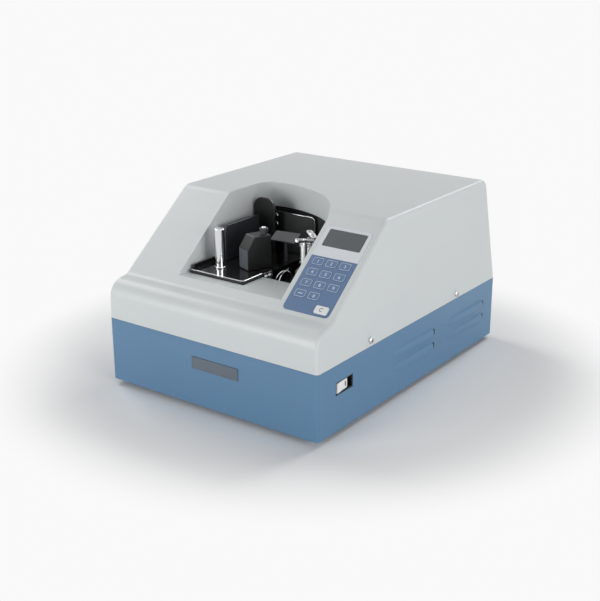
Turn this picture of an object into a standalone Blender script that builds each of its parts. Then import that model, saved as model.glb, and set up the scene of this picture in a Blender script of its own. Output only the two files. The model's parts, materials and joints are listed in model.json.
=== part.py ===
"""Tabletop vacuum banknote counter: a grey cover on a blue base, with the note bay, the spindle head,
the keypad console and the works inside. Metres, +Z up, origin on the ground under the middle of the base."""

from math import asin, atan2, cos, pi, radians, sin, sqrt, tan

import bmesh
import bpy
from mathutils import Matrix, Vector

# Clearances that the whole machine shares
GAP = 0.0003
RUNNING_GAP = 0.0005
OVERRUN = 0.004

# Casing
FOOT_HEIGHT = 0.006
CASE_WIDTH = 0.292
CASE_DEPTH = 0.387
BASE_HEIGHT = 0.075
COVER_RISE = 0.1318
CASE_CORNER = 0.004
BASE_SHEET = 0.0015
COVER_WALL = 0.003
SIDE_LEAN = radians(1.84)
NOSE_HEIGHT = 0.0425
NOSE_RADIUS = 0.019
NOSE_DEPTH = 0.0275
NOSE_STEP = 0.004
SLOPE_FOOT_RADIUS = 0.014
SLOPE_RUN = 0.1047
SLOPE_TOP_RADIUS = 0.018
REAR_LEAN_IN = 0.0265
REAR_RADIUS = 0.012

BASE_FLOOR = FOOT_HEIGHT
FLOOR_TOP = FOOT_HEIGHT + BASE_SHEET
SEAM = FOOT_HEIGHT + BASE_HEIGHT
COVER_TOP = SEAM + COVER_RISE
FRONT = -CASE_DEPTH / 2
REAR = CASE_DEPTH / 2
SLOPE_FOOT_Y = FRONT + NOSE_DEPTH
SLOPE_FOOT_Z = SEAM + NOSE_HEIGHT + NOSE_STEP
SLOPE_TOP_Y = SLOPE_FOOT_Y + SLOPE_RUN
SLOPE_ANGLE = atan2(COVER_TOP - SLOPE_FOOT_Z, SLOPE_RUN)
LEFT = -CASE_WIDTH / 2
RIGHT = CASE_WIDTH / 2

# Cover screws and the lugs that they bite into
COVER_SCREW_FRONT_INSET = 0.0978
COVER_SCREW_REAR_INSET = 0.1
COVER_SCREW_FRONT_RISE = 0.0078
COVER_SCREW_REAR_RISE = 0.0066
SCREW_HEAD_RADIUS = 0.004
SCREW_HEAD_HEIGHT = 0.0024
SCREW_SHANK_RADIUS = 0.002
SCREW_SHANK_LENGTH = 0.0062
LUG_WIDTH = 0.016
LUG_SHEET = 0.002
LUG_RISE = 0.014
LUG_DROP = 0.02

COVER_SCREW_FRONT_Y = FRONT + COVER_SCREW_FRONT_INSET
COVER_SCREW_REAR_Y = REAR - COVER_SCREW_REAR_INSET

# Feet
FOOT_RADIUS = 0.009
FOOT_INSET = 0.026
FOOT_STEM_RADIUS = 0.0027
FOOT_BARB_RADIUS = 0.004
FOOT_BARB_HEIGHT = 0.0016

# Louvres pressed into both sides of the base
LOUVRE_LENGTH = 0.086
LOUVRE_HEIGHT = 0.013
LOUVRE_PITCH = 0.017
LOUVRE_BULGE = 0.0032
LOUVRE_SKIN = 0.0012
LOUVRE_TOP_RISE = 0.0545
LOUVRE_REAR_INSET = 0.12
LOUVRE_SPACING = 0.1225
LOUVRE_MOUTH = 0.0042
LOUVRE_ROWS = 2
# Each section of a hood: how far along it is, how far out it stands and how high it is
LOUVRE_SHAPE_SHARES = (
    (0.0, 0.05, 0.5),
    (0.1, 0.35, 0.85),
    (0.3, 0.7, 1.0),
    (0.65, 0.95, 1.0),
    (1.0, 1.0, 1.0),
)
LOUVRE_SLOT_SHARE = 0.14

LOUVRE_REAR_Y = REAR - LOUVRE_REAR_INSET
LOUVRE_FRONT_Y = LOUVRE_REAR_Y - LOUVRE_SPACING

# Plate on the front
PLATE_WIDTH = 0.0645
PLATE_HEIGHT = 0.014
PLATE_THICK = 0.0012
PLATE_X = 0.0103
PLATE_RISE = 0.05
PLATE_RECESS = 0.0006

# Power switch in the right wall
SWITCH_INSET = 0.0485
SWITCH_RISE = 0.0485
SWITCH_LENGTH = 0.032
SWITCH_HEIGHT = 0.015
SWITCH_BODY_DEPTH = 0.02
SWITCH_RIM = 0.0012
SWITCH_RIM_THICK = 0.0012
ROCKER_LENGTH = 0.0235
ROCKER_HEIGHT = 0.0112
ROCKER_THICK = 0.005
ROCKER_OFFSET = 0.0022
ROCKER_TILT = radians(6)
ROCKER_WELL_DEPTH = 0.008
ROCKER_PIVOT_INSET = 0.0025
ROCKER_FLAT_SHARE = 0.7
ROCKER_ROUND_SHARE = 0.93

SWITCH_Y = FRONT + SWITCH_INSET

# Mains inlet and fuse in the rear wall
INLET_INSET = 0.061
INLET_RISE = 0.034
INLET_BODY_WIDTH = 0.0275
INLET_BODY_HEIGHT = 0.0205
INLET_BODY_DEPTH = 0.019
INLET_FLANGE_WIDTH = 0.049
INLET_FLANGE_THICK = 0.0025
INLET_WALL = 0.0022
INLET_FLOOR = 0.003
INLET_PIN_WIDTH = 0.002
INLET_PIN_HEIGHT = 0.004
INLET_PIN_LENGTH = 0.012
INLET_PIN_SPREAD = 0.007
INLET_PIN_STAGGER = 0.002
FUSE_DRAWER_WIDTH = 0.018
FUSE_DRAWER_HEIGHT = 0.006
FUSE_DRAWER_DROP = 0.0175
FUSE_DRAWER_PROUD = 0.0012
FUSE_GROOVE = 0.0008

INLET_X = RIGHT - INLET_INSET

# Note bay in the cover
BAY_LEFT = -0.072
BAY_RIGHT = 0.072
BAY_ARC_X = -0.043
BAY_ARC_Y = -0.114
BAY_ARC_RADIUS = 0.123
BAY_CORNER = 0.022
LEDGE_RISE = 0.055
LEDGE_THICK = 0.003
LEDGE_BACK_Y = -0.106
SKIRT_RISE = 0.102

LEDGE_TOP = SEAM + LEDGE_RISE
SKIRT_BOTTOM = SEAM + SKIRT_RISE

# Mechanism frame: one folded sheet on the floor of the base
FRAME_DROP = 0.0135
FRAME_SHEET = 0.002
FRAME_SIDE_GAP = 0.021
FRAME_FRONT_Y = -0.128
FRAME_REAR_Y = 0.06
FRAME_FOOT = 0.015

FRAME_WIDTH = CASE_WIDTH - 2 * FRAME_SIDE_GAP

# Tray and what stands on it
TRAY_LEFT = -0.0695
TRAY_RIGHT = 0.0085
TRAY_FRONT_Y = -0.14
TRAY_REAR_Y = -0.025
TRAY_RISE = 0.0025
TRAY_THICK = 0.004
TRAY_CORNER = 0.003
TRAY_LEG_RADIUS = 0.004
TRAY_LEG_INSET = 0.012
TRAY_LEG_FRONT_INSET = 0.03
TRAY_POCKET_GAP = 0.001
TRAY_LIP_HEIGHT = 0.005
TRAY_LIP_THICK = 0.002
TRIM_WIDTH = 0.0016
TRIM_HEIGHT = 0.0012

TRAY_TOP = LEDGE_TOP + TRAY_RISE
TRAY_BOTTOM = TRAY_TOP - TRAY_THICK
FRAME_TOP_Z = TRAY_BOTTOM - FRAME_DROP

POST_X = -0.047
POST_Y = -0.112
POST_RADIUS = 0.0057
POST_HEIGHT = 0.0455
POST_RING_RADIUS = 0.0072
POST_RING_HEIGHT = 0.0012
POST_STUD_RADIUS = 0.0025
POST_EDGE = 0.0006

GUIDE_X = -0.058
GUIDE_THICK = 0.003
GUIDE_FRONT_Y = -0.09
GUIDE_REAR_Y = -0.027
GUIDE_HEIGHT = 0.0415
GUIDE_CORNER = 0.006
GUIDE_FOOT = 0.0075
GUIDE_FOOT_THICK = 0.0015

# Press block that swings on its pivot
BLOCK_PIVOT_X = -0.0074
BLOCK_PIVOT_Y = -0.0818
BLOCK_SIDE_SHIFT = -0.0038
BLOCK_TURN = radians(-22.3)
BLOCK_LENGTH = 0.0306
BLOCK_WIDTH = 0.0196
BLOCK_HEIGHT = 0.038
BLOCK_NOSE_HEIGHT = 0.024
BLOCK_NOSE_RUN = 0.009
BLOCK_BACK = 0.0063
BLOCK_EDGE = 0.001
PIVOT_RADIUS = 0.0025
PIVOT_NUT_RADIUS = 0.005
PIVOT_NUT_HEIGHT = 0.0025
KNOB_RADIUS = 0.0052
KNOB_WAIST_RADIUS = 0.0036
KNOB_HEIGHT = 0.0075
KNOB_FOOT_HEIGHT = 0.0025
SPRING_RADIUS = 0.0052
SPRING_WIRE = 0.0006
SPRING_TURNS = 4
SPRING_PITCH = 0.0022
SPRING_POINTS_PER_TURN = 10

# Back of the bay
BACK_PLATE_Y = -0.007
BACK_PLATE_LEFT = -0.056
BACK_PLATE_RIGHT = 0.0105
BACK_PLATE_HEIGHT = 0.0605
BACK_PLATE_THICK = 0.0015
BACK_PLATE_CORNER = 0.005
BACK_PLATE_FOOT = 0.01
CORNER_PLATE_LEFT = -0.0695
CORNER_PLATE_RIGHT = -0.038
CORNER_PLATE_Y = -0.0185
CORNER_PLATE_THICK = 0.003
CORNER_PLATE_HEIGHT = 0.0785
CORNER_PLATE_RADIUS = 0.013
SHROUD_THICK = 0.0015
SHROUD_LEFT_ANGLE = radians(152)
SHROUD_TURN_ANGLE = radians(62)
SHROUD_RIGHT_X = 0.088
BRACKET_Y = -0.0972
BRACKET_LENGTH = 0.014
BRACKET_THICK = 0.0015
BRACKET_FOOT = 0.008
BRACKET_TOP_RISE = 0.0012
BRACKET_SCREW_RADIUS = 0.0026
BLADE_X = 0.001
BLADE_Y = -0.052
BLADE_LENGTH = 0.032
BLADE_WIDTH = 0.017
BLADE_THICK = 0.0016
BLADE_RISE = 0.029
BLADE_TILT = radians(24)
BLADE_TURN = radians(8)
BLADE_POST_RADIUS = 0.0025
WIRE_RADIUS = 0.0009
WIRE_POINTS = 14
# Each knot of the wire: how far up, how far back and how far inwards it is
WIRE_SHARES = ((0.5, 0, 0), (1, 0.25, 0), (1.1, 1, 1), (1.2, 1.9, 1.5))

# Rotating head with its four suction spindles
HEAD_X = 0.051
HEAD_Y = -0.058
HEAD_RADIUS = 0.017
HEAD_START = radians(-118)
SPINDLE_COUNT = 4
HOUSING_FLANGE_RADIUS = 0.02
HOUSING_FLANGE_HEIGHT = 0.003
HOUSING_BARREL_RADIUS = 0.0125
HOUSING_BARREL_DROP = 0.011
SHAFT_RADIUS = 0.006
GEAR_TEETH = 17
GEAR_HEIGHT = 0.0045
GEAR_ADDENDUM = 0.0006
GEAR_DEDENDUM = 0.0012
GEAR_LIFT = 0.0006
TOOTH_ROOT_SHARE = 0.46
TOOTH_TIP_SHARE = 0.24
TURRET_RADIUS = 0.0262
TURRET_HEIGHT = 0.006
TURRET_LIFT = 0.0112
TURRET_HUB_RADIUS = 0.0085
TURRET_HUB_DROP = 0.0015
TURRET_EDGE = 0.001
TURRET_CAP_RADIUS = 0.0085
TURRET_CAP_HEIGHT = 0.003
SPINDLE_SHAFT_RADIUS = 0.004
SPINDLE_COLLAR_RADIUS = 0.0055
SPINDLE_SLEEVE_RADIUS = 0.0056
SPINDLE_SLEEVE_RISE = 0.0285
SPINDLE_SLEEVE_LENGTH = 0.0225
SPINDLE_NECK_RADIUS = 0.002
SPINDLE_NECK_LENGTH = 0.0025
NOZZLE_LENGTH = 0.023
NOZZLE_WIDTH = 0.0075
NOZZLE_THICK = 0.0026
NOZZLE_TILT = radians(7)
NOZZLE_TURN = radians(52)
NOZZLE_ROUND_SHARE = 0.98

SPINDLE_SLEEVE_Z = FRAME_TOP_Z + SPINDLE_SLEEVE_RISE

# Drive under the frame
PULLEY_DROP = 0.023
PULLEY_FLANGE = 0.001
PULLEY_SEAT = 0.006
HEAD_PULLEY_RADIUS = 0.022
MOTOR_PULLEY_RADIUS = 0.009
PULLEY_FLANGE_REACH = 0.002
BELT_THICK = 0.0012
MOTOR_Y = 0.025
MOTOR_RADIUS = 0.028
MOTOR_FLANGE_RADIUS = 0.033
MOTOR_FLANGE_HEIGHT = 0.003
MOTOR_DROP = 0.037
MOTOR_BOSS_RADIUS = 0.012
MOTOR_BOSS_HEIGHT = 0.004
MOTOR_SHAFT_RADIUS = 0.003
MOTOR_SHAFT_DEPTH = 0.024
UNION_RADIUS = 0.01
UNION_DROP = 0.043
UNION_HEIGHT = 0.014
UNION_FLOOR = 0.005
NIPPLE_RADIUS = 0.003
NIPPLE_LENGTH = 0.007
UNION_NIPPLE_SHARE = 0.8

PULLEY_Z = FRAME_TOP_Z - PULLEY_DROP
MOTOR_TOP_Z = FRAME_TOP_Z - MOTOR_DROP
UNION_Z = FRAME_TOP_Z - UNION_DROP

# Vacuum pump and its hose
PUMP_INSET = 0.072
PUMP_Y = -0.03
PUMP_WIDTH = 0.058
PUMP_DEPTH = 0.056
PUMP_HEIGHT = 0.04
PUMP_HEAD_RADIUS = 0.02
PUMP_HEAD_HEIGHT = 0.014
PUMP_MOTOR_RADIUS = 0.018
PUMP_MOTOR_LENGTH = 0.046
PUMP_MOTOR_FOOT_WIDTH = 0.02
HOSE_RADIUS = 0.0035
HOSE_POINTS = 34
# How far each knot of the hose stands above its nipple and along it, in nipple lengths
HOSE_START_SHARES = ((1, 0), (1.8, 1.2), (1.9, 3))
HOSE_END_SHARES = ((0.3, 2.4), (0, 1))
HOSE_MIDDLE_SHARE = 0.55
HOSE_RISE_SHARE = 1.7

PUMP_X = LEFT + PUMP_INSET

# Electronics on the floor of the base
BOARD_THICK = 0.0016
MAIN_BOARD_WIDTH = 0.15
MAIN_BOARD_DEPTH = 0.078
MAIN_BOARD_X = -0.012
MAIN_BOARD_INSET = 0.0545
STANDOFF_RADIUS = 0.003
STANDOFF_HEIGHT = 0.008
STANDOFF_INSET = 0.006
HEATSINK_WIDTH = 0.04
HEATSINK_DEPTH = 0.012
HEATSINK_HEIGHT = 0.026
CAPACITOR_RADIUS = 0.008
CAPACITOR_HEIGHT = 0.024
CONNECTOR_WIDTH = 0.03
CONNECTOR_DEPTH = 0.008
CONNECTOR_HEIGHT = 0.01
CONNECTOR_FRONT_SHARE = 0.75
CONNECTOR_REAR_SHARE = 0.8
CHIP_SIDE = 0.014
CHIP_HEIGHT = 0.003
TRANSFORMER_SIDE_INSET = 0.068
TRANSFORMER_REAR_INSET = 0.0855
TRANSFORMER_WIDTH = 0.062
TRANSFORMER_DEPTH = 0.044
TRANSFORMER_HEIGHT = 0.05
WINDING_WIDTH = 0.04
WINDING_DEPTH = 0.058
WINDING_HEIGHT = 0.034
TRANSFORMER_FOOT = 0.012
TRANSFORMER_FOOT_THICK = 0.002

MAIN_BOARD_Y = FRONT + MAIN_BOARD_INSET
TRANSFORMER_X = LEFT + TRANSFORMER_SIDE_INSET
TRANSFORMER_Y = REAR - TRANSFORMER_REAR_INSET

# Keypad console on the slope
LABEL_X = 0.107
LABEL_WIDTH = 0.058
LABEL_START = 0.005
LABEL_LENGTH = 0.11
LABEL_THICK = 0.0007
LABEL_CORNER = 0.005
LABEL_RECESS = 0.0008
WINDOW_WIDTH = 0.048
WINDOW_LENGTH = 0.0222
WINDOW_INSET = 0.0151
WINDOW_CORNER = 0.0012
WINDOW_SEAT = 0.002
KEY_COLUMN_PITCH = 0.0172
KEY_PITCH_SHARE = 0.1263636
KEY_ROW_STEP = 0.0003
KEY_WIDTH = 0.0135
KEY_LENGTH = 0.009
KEY_CORNER = 0.0018
KEY_PROUD = 0.0003
KEY_FLANGE_REACH = 0.0008
KEY_FLANGE_THICK = 0.001
KEY_STEM_WIDTH = 0.008
KEY_STEM_LENGTH = 0.005
KEY_TRAVEL = 0.0005
CLEAR_X_OFFSET = 0.0003
CLEAR_UP = 0.0125
CLEAR_WIDTH = 0.016
CLEAR_LENGTH = 0.0095
CLEAR_PROUD = 0.0012
CONTROL_BOARD_DEPTH = 0.0048
CONTROL_BOARD_START = 0.0022
CONTROL_BOARD_REACH = 0.0028
BOARD_BOSS_RADIUS = 0.0018
BOARD_BOSS_INSET = 0.0026
DISPLAY_MODULE_WIDTH = 0.042
DISPLAY_MODULE_LENGTH = 0.016

WINDOW_CENTRE = LABEL_START + LABEL_LENGTH - WINDOW_INSET
KEY_ROW_PITCH = LABEL_LENGTH * KEY_PITCH_SHARE
KEY_BOTTOM_ROW = CLEAR_UP + KEY_ROW_PITCH + KEY_ROW_STEP
CONTROL_BOARD_LENGTH = LABEL_LENGTH + CONTROL_BOARD_REACH

ROUND_SIDES = 32
SMALL_SIDES = 16
CORNER_STEPS = 3
ARC_STEPS = 5
BAY_ARC_STEPS = 18


def clear_scene():
    """Removes what the file holds, so that each run starts from nothing."""
    for old in list(bpy.data.objects):
        bpy.data.objects.remove(old)


def linear(hex_colour):
    """An sRGB hex colour as the linear RGBA that a shader takes."""
    channels = [int(hex_colour[i : i + 2], 16) / 255 for i in (1, 3, 5)]
    return [c / 12.92 if c <= 0.04045 else ((c + 0.055) / 1.055) ** 2.4 for c in channels] + [1]


def material(name, hex_colour, roughness, metallic=0.0):
    made = bpy.data.materials.get(name)
    if made is None:
        made = bpy.data.materials.new(name)
        made.use_nodes = True
        shader = made.node_tree.nodes["Principled BSDF"]
        shader.inputs["Base Color"].default_value = linear(hex_colour)
        shader.inputs["Roughness"].default_value = roughness
        shader.inputs["Metallic"].default_value = metallic
        made.diffuse_color = linear(hex_colour)
    return made


def cover_grey():
    return material("cover_grey", "#CDD1D1", 0.45)


def base_blue():
    return material("base_blue", "#5F84A8", 0.42)


def chrome():
    return material("chrome", "#D8DADC", 0.12, 1.0)


def steel():
    return material("steel", "#A9ACAE", 0.35, 1.0)


def aluminium():
    return material("aluminium", "#B9BCBF", 0.4, 1.0)


def black_plastic():
    return material("black_plastic", "#1A1B1C", 0.4)


def black_gloss():
    return material("black_gloss", "#101112", 0.12)


def black_sheet():
    return material("black_sheet", "#18191A", 0.5)


def dark_grey_plastic():
    return material("dark_grey_plastic", "#3A3E43", 0.42)


def light_plastic():
    return material("light_plastic", "#8E9499", 0.35)


def white_plastic():
    return material("white_plastic", "#E6E8E9", 0.35)


def label_film():
    return material("label_film", "#D5DCE2", 0.35)


def key_film():
    return material("key_film", "#55729E", 0.35)


def smoked_window():
    return material("smoked_window", "#5A6065", 0.2)


def rubber():
    return material("rubber", "#202122", 0.85)


def board_green():
    return material("board_green", "#2F6B43", 0.5)


def empty(name, location, turn=0.0, tilt=0.0):
    """A frame that pieces hang on: turned about Z, or tilted about X as the slope is."""
    made = bpy.data.objects.new(name, None)
    bpy.context.scene.collection.objects.link(made)
    made.location = location
    made.rotation_euler = (tilt, 0, turn)
    return made


def piece(name, bm, finish, location=(0, 0, 0), parent=None, rotation=(0, 0, 0), smooth=False):
    """A named object from a bmesh, with its faces turned outwards."""
    bmesh.ops.recalc_face_normals(bm, faces=bm.faces)
    mesh = bpy.data.meshes.new(name)
    bm.to_mesh(mesh)
    bm.free()
    if smooth:
        mesh.shade_smooth()
        mesh.set_sharp_from_angle(angle=radians(35))
    made = bpy.data.objects.new(name, mesh)
    bpy.context.scene.collection.objects.link(made)
    made.data.materials.append(finish)
    made.location = location
    made.rotation_euler = rotation
    made.parent = parent
    return made


def helper(name, bm, location=(0, 0, 0), parent=None, rotation=(0, 0, 0)):
    """A cutter or an added shape that isn't a piece by itself."""
    made = piece(name, bm, steel(), location, parent, rotation)
    made.hide_render = True
    made.display_type = "WIRE"
    return made


def combine(target, other, operation):
    """Adds a live Boolean to the target."""
    modifier = target.modifiers.new(other.name, "BOOLEAN")
    modifier.operation = operation
    modifier.solver = "EXACT"
    modifier.object = other


def cut(target, *cutters):
    for cutter in cutters:
        combine(target, cutter, "DIFFERENCE")


def fuse(target, *additions):
    for addition in additions:
        combine(target, addition, "UNION")


def rounded(corners, insets=None, steps=CORNER_STEPS):
    """The points of a closed outline of (a, b, radius) corners, listed counter-clockwise. Each edge may be
    moved inwards by its inset; a radius shrinks on an outer corner and grows on an inner one."""
    count = len(corners)
    insets = insets or [0] * count
    lines = []
    for i, (a, b, _) in enumerate(corners):
        nxt = corners[(i + 1) % count]
        along = Vector((nxt[0] - a, nxt[1] - b)).normalized()
        inward = Vector((-along.y, along.x))
        lines.append((Vector((a, b)) + inward * insets[i], along))
    points = []
    for i, (_, _, radius) in enumerate(corners):
        (p, d), (q, e) = lines[i - 1], lines[i]
        cross = d.x * e.y - d.y * e.x
        meet = p + d * (((q.x - p.x) * e.y - (q.y - p.y) * e.x) / cross)
        turn = atan2(cross, d.dot(e))
        radius = max(0, radius - insets[i] if turn > 0 else radius + insets[i]) if radius else 0
        if not radius:
            points.append(tuple(meet))
            continue
        reach = radius * tan(abs(turn) / 2)
        side = Vector((-d.y, d.x)) * (radius if turn > 0 else -radius)
        centre = meet - d * reach + side
        for step in range(steps + 1):
            angle = turn * step / steps
            spoke = Matrix.Rotation(angle, 2) @ (-side)
            points.append(tuple(centre + spoke))
    return points


def rectangle(low_a, high_a, low_b, high_b, radius=0.0):
    """The corners of an upright rectangle, for rounded()."""
    corners = [(low_a, low_b), (high_a, low_b), (high_a, high_b), (low_a, high_b)]
    return [(a, b, radius) for a, b in corners]


def loft(sections):
    """A closed solid through sections that have the same number of 3-D points."""
    bm = bmesh.new()
    rings = [[bm.verts.new(point) for point in section] for section in sections]
    for low, high in zip(rings, rings[1:]):
        for i in range(len(low)):
            j = (i + 1) % len(low)
            bm.faces.new((low[i], low[j], high[j], high[i]))
    bm.faces.new(rings[0][::-1])
    bm.faces.new(rings[-1])
    return bm


def prism_z(points, low, high):
    """An outline in X and Y, raised from low to high."""
    return loft([[(x, y, z) for x, y in points] for z in (low, high)])


def prism_x(points, low, high):
    """An outline in Y and Z, swept from low to high along X."""
    return loft([[(x, y, z) for y, z in points] for x in (low, high)])


def prism_y(points, low, high):
    """An outline in X and Z, swept from low to high along Y."""
    return loft([[(x, y, z) for x, z in points] for y in (low, high)])


def block(width, depth, low, high, radius=0.0):
    """A box centred on X and Y, with its upright edges rounded."""
    return prism_z(rounded(rectangle(-width / 2, width / 2, -depth / 2, depth / 2, radius)), low, high)


def turned(profile, sides=ROUND_SIDES):
    """A turned solid about Z. Its (radius, height) profile starts and ends on the axis, or is a ring."""
    bm = bmesh.new()
    rings = []
    for radius, height in profile:
        if radius:
            spokes = [2 * pi * i / sides for i in range(sides)]
            rings.append([bm.verts.new((radius * cos(a), radius * sin(a), height)) for a in spokes])
        else:
            rings.append([bm.verts.new((0, 0, height))])
    if len(rings[0]) > 1:
        rings.append(rings[0])
    for low, high in zip(rings, rings[1:]):
        for i in range(sides):
            j = (i + 1) % sides
            if len(low) == 1:
                bm.faces.new((low[0], high[j], high[i]))
            elif len(high) == 1:
                bm.faces.new((low[i], low[j], high[0]))
            else:
                bm.faces.new((low[i], low[j], high[j], high[i]))
    return bm


def disc(radius, low, high, sides=SMALL_SIDES):
    return turned([(0, low), (radius, low), (radius, high), (0, high)], sides)


def merged(*parts):
    """Several separate closed bodies in one bmesh."""
    whole = bmesh.new()
    for part, shift in parts:
        mesh = bpy.data.meshes.new("part")
        part.to_mesh(mesh)
        part.free()
        mesh.transform(Matrix.Translation(shift))
        whole.from_mesh(mesh)
        bpy.data.meshes.remove(mesh)
    return whole


def smooth_route(knots, count):
    """Points along a Catmull-Rom curve through the knots."""
    ends = [knots[0] * 2 - knots[1], *knots, knots[-1] * 2 - knots[-2]]
    points = []
    spans = len(knots) - 1
    for step in range(count):
        place = spans * step / (count - 1)
        i = min(int(place), spans - 1)
        t = place - i
        a, b, c, d = ends[i : i + 4]
        points.append(
            ((b * 2) + (c - a) * t + (a * 2 - b * 5 + c * 4 - d) * t**2 + (b * 3 - a - c * 3 + d) * t**3) / 2
        )
    return points


def tube(name, points, radius, finish, resolution=2):
    """A round wire or hose along the points, with flat ends."""
    curve = bpy.data.curves.new(name, "CURVE")
    curve.dimensions = "3D"
    curve.bevel_depth = radius
    curve.bevel_resolution = resolution
    curve.use_fill_caps = True
    spline = curve.splines.new("POLY")
    spline.points.add(len(points) - 1)
    for slot, point in zip(spline.points, points):
        slot.co = (*point, 1)
    made = bpy.data.objects.new(name, curve)
    bpy.context.scene.collection.objects.link(made)
    curve.materials.append(finish)
    return made


def side_lean(z):
    """How far the cover's side stands in from the case's side at a height."""
    return (z - SEAM) * tan(SIDE_LEAN)


def cover_profile(inset=0.0, below=0.0):
    """The cover's outline from the side, in Y and Z. The bottom edge is lowered by below."""
    corners = [
        (FRONT, SEAM + GAP, 0),
        (REAR, SEAM + GAP, 0),
        (REAR - REAR_LEAN_IN, COVER_TOP, REAR_RADIUS),
        (SLOPE_TOP_Y, COVER_TOP, SLOPE_TOP_RADIUS),
        (SLOPE_FOOT_Y, SLOPE_FOOT_Z, SLOPE_FOOT_RADIUS),
        (FRONT, SEAM + NOSE_HEIGHT, NOSE_RADIUS),
    ]
    return rounded(corners, [-below] + [inset] * (len(corners) - 1), ARC_STEPS)


def cover_shell():
    """The outer skin of the cover, with its rims rounded by stepped sections, as a solid."""
    sections = []
    for side in (1, -1):
        steps = []
        for step in range(CORNER_STEPS + 1):
            angle = pi / 2 * step / CORNER_STEPS
            reach = CASE_WIDTH / 2 - CASE_CORNER + CASE_CORNER * cos(angle)
            outline = cover_profile(CASE_CORNER * (1 - sin(angle)))
            steps.append([(side * (reach - side_lean(z)), y, z) for y, z in outline])
        sections += steps if side > 0 else steps[::-1]
    return loft(sections)


def bay_outline(grow=0.0):
    """The bay seen from above: straight sides, a rear wall on an arc about the post, one round corner."""
    left, right = BAY_LEFT - grow, BAY_RIGHT + grow
    radius, corner = BAY_ARC_RADIUS + grow, BAY_CORNER + grow
    corner_x = left + corner
    corner_y = BAY_ARC_Y + sqrt((radius - corner) ** 2 - (corner_x - BAY_ARC_X) ** 2)
    start = atan2(sqrt(radius**2 - (right - BAY_ARC_X) ** 2), right - BAY_ARC_X)
    end = atan2(corner_y - BAY_ARC_Y, corner_x - BAY_ARC_X)
    points = [(left, FRONT - OVERRUN), (right, FRONT - OVERRUN)]
    for step in range(BAY_ARC_STEPS + 1):
        angle = start + (end - start) * step / BAY_ARC_STEPS
        points.append((BAY_ARC_X + radius * cos(angle), BAY_ARC_Y + radius * sin(angle)))
    for step in range(1, ARC_STEPS + 1):
        angle = end + (pi - end) * step / ARC_STEPS
        points.append((corner_x + corner * cos(angle), corner_y + corner * sin(angle)))
    return points


def well_outline():
    """The room under the skirt, from the side. Its front is parallel to the slope, below the control board."""
    low = LEDGE_TOP - LEDGE_THICK - OVERRUN
    rear = BAY_ARC_Y + BAY_ARC_RADIUS + OVERRUN
    rise = tan(SLOPE_ANGLE)
    drop = (CONTROL_BOARD_DEPTH + BOARD_THICK + RUNNING_GAP) / cos(SLOPE_ANGLE)
    front_top = min(SLOPE_FOOT_Z + (LEDGE_BACK_Y - SLOPE_FOOT_Y) * rise - drop, SKIRT_BOTTOM - GAP)
    meets = LEDGE_BACK_Y + (SKIRT_BOTTOM - front_top) / rise
    return [
        (LEDGE_BACK_Y, low),
        (rear, low),
        (rear, SKIRT_BOTTOM),
        (meets, SKIRT_BOTTOM),
        (LEDGE_BACK_Y, front_top),
    ]


def console_frame():
    """An empty on the slope's foot: X across, Y up the slope, Z out of it."""
    return empty("console", (LABEL_X, SLOPE_FOOT_Y, SLOPE_FOOT_Z), tilt=SLOPE_ANGLE)


def key_places():
    """Each key as (name, x, up the slope) on the console."""
    rows = [("1", "2", "3"), ("4", "5", "6"), ("7", "8", "9"), ("mode", "0")]
    places = []
    for row, names in enumerate(rows):
        up = KEY_BOTTOM_ROW + (len(rows) - 1 - row) * KEY_ROW_PITCH
        for column, name in enumerate(names):
            places.append((f"key_{name}", (column - 1) * KEY_COLUMN_PITCH, up))
    return places


def boss_places():
    """The corners and the middles of the control board's long sides, where the cover's bosses hold it."""
    reach = board_width() / 2 - BOARD_BOSS_INSET
    along = CONTROL_BOARD_LENGTH / 2 - BOARD_BOSS_INSET
    centre = CONTROL_BOARD_START + CONTROL_BOARD_LENGTH / 2
    return [(x * reach + board_shift(), centre + y * along) for x in (-1, 1) for y in (-1, 0, 1)]


def board_left():
    return BAY_RIGHT + COVER_WALL + RUNNING_GAP


def board_right():
    return CASE_WIDTH / 2 - COVER_WALL - side_lean(COVER_TOP) - RUNNING_GAP


def board_width():
    return board_right() - board_left()


def board_shift():
    return (board_left() + board_right()) / 2 - LABEL_X


def make_cover(console):
    cover = piece("top_cover", cover_shell(), cover_grey(), smooth=True)
    inside = cover_profile(COVER_WALL, OVERRUN)
    half = CASE_WIDTH / 2 - COVER_WALL
    cavity = helper(
        "cover_cavity",
        loft([[(s * (half - side_lean(z)), y, z) for y, z in inside] for s in (1, -1)]),
    )
    tub = prism_z(bay_outline(COVER_WALL), LEDGE_TOP - LEDGE_THICK, COVER_TOP + OVERRUN)
    cut(cavity, helper("bay_tub", tub))
    opening = prism_z(bay_outline(), LEDGE_TOP, COVER_TOP + OVERRUN)
    well = prism_x(well_outline(), BAY_LEFT, BAY_RIGHT + COVER_WALL + OVERRUN)
    pocket = rectangle(
        TRAY_LEFT - TRAY_POCKET_GAP,
        TRAY_RIGHT + TRAY_POCKET_GAP,
        TRAY_FRONT_Y - TRAY_POCKET_GAP,
        LEDGE_BACK_Y + OVERRUN,
    )
    tray_gap = prism_z(rounded(pocket), LEDGE_TOP - LEDGE_THICK - OVERRUN, LEDGE_TOP + OVERRUN)
    cut(
        cover,
        cavity,
        helper("bay_opening", opening),
        helper("bay_well", well),
        helper("tray_pocket", tray_gap),
    )
    cut_console(cover, console)
    add_board_bosses(cover, console)
    for name, y, rise in cover_screw_places():
        cut(cover, side_drill(f"cover_drill_{name}", y, SEAM + rise, CASE_WIDTH + OVERRUN))


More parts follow.
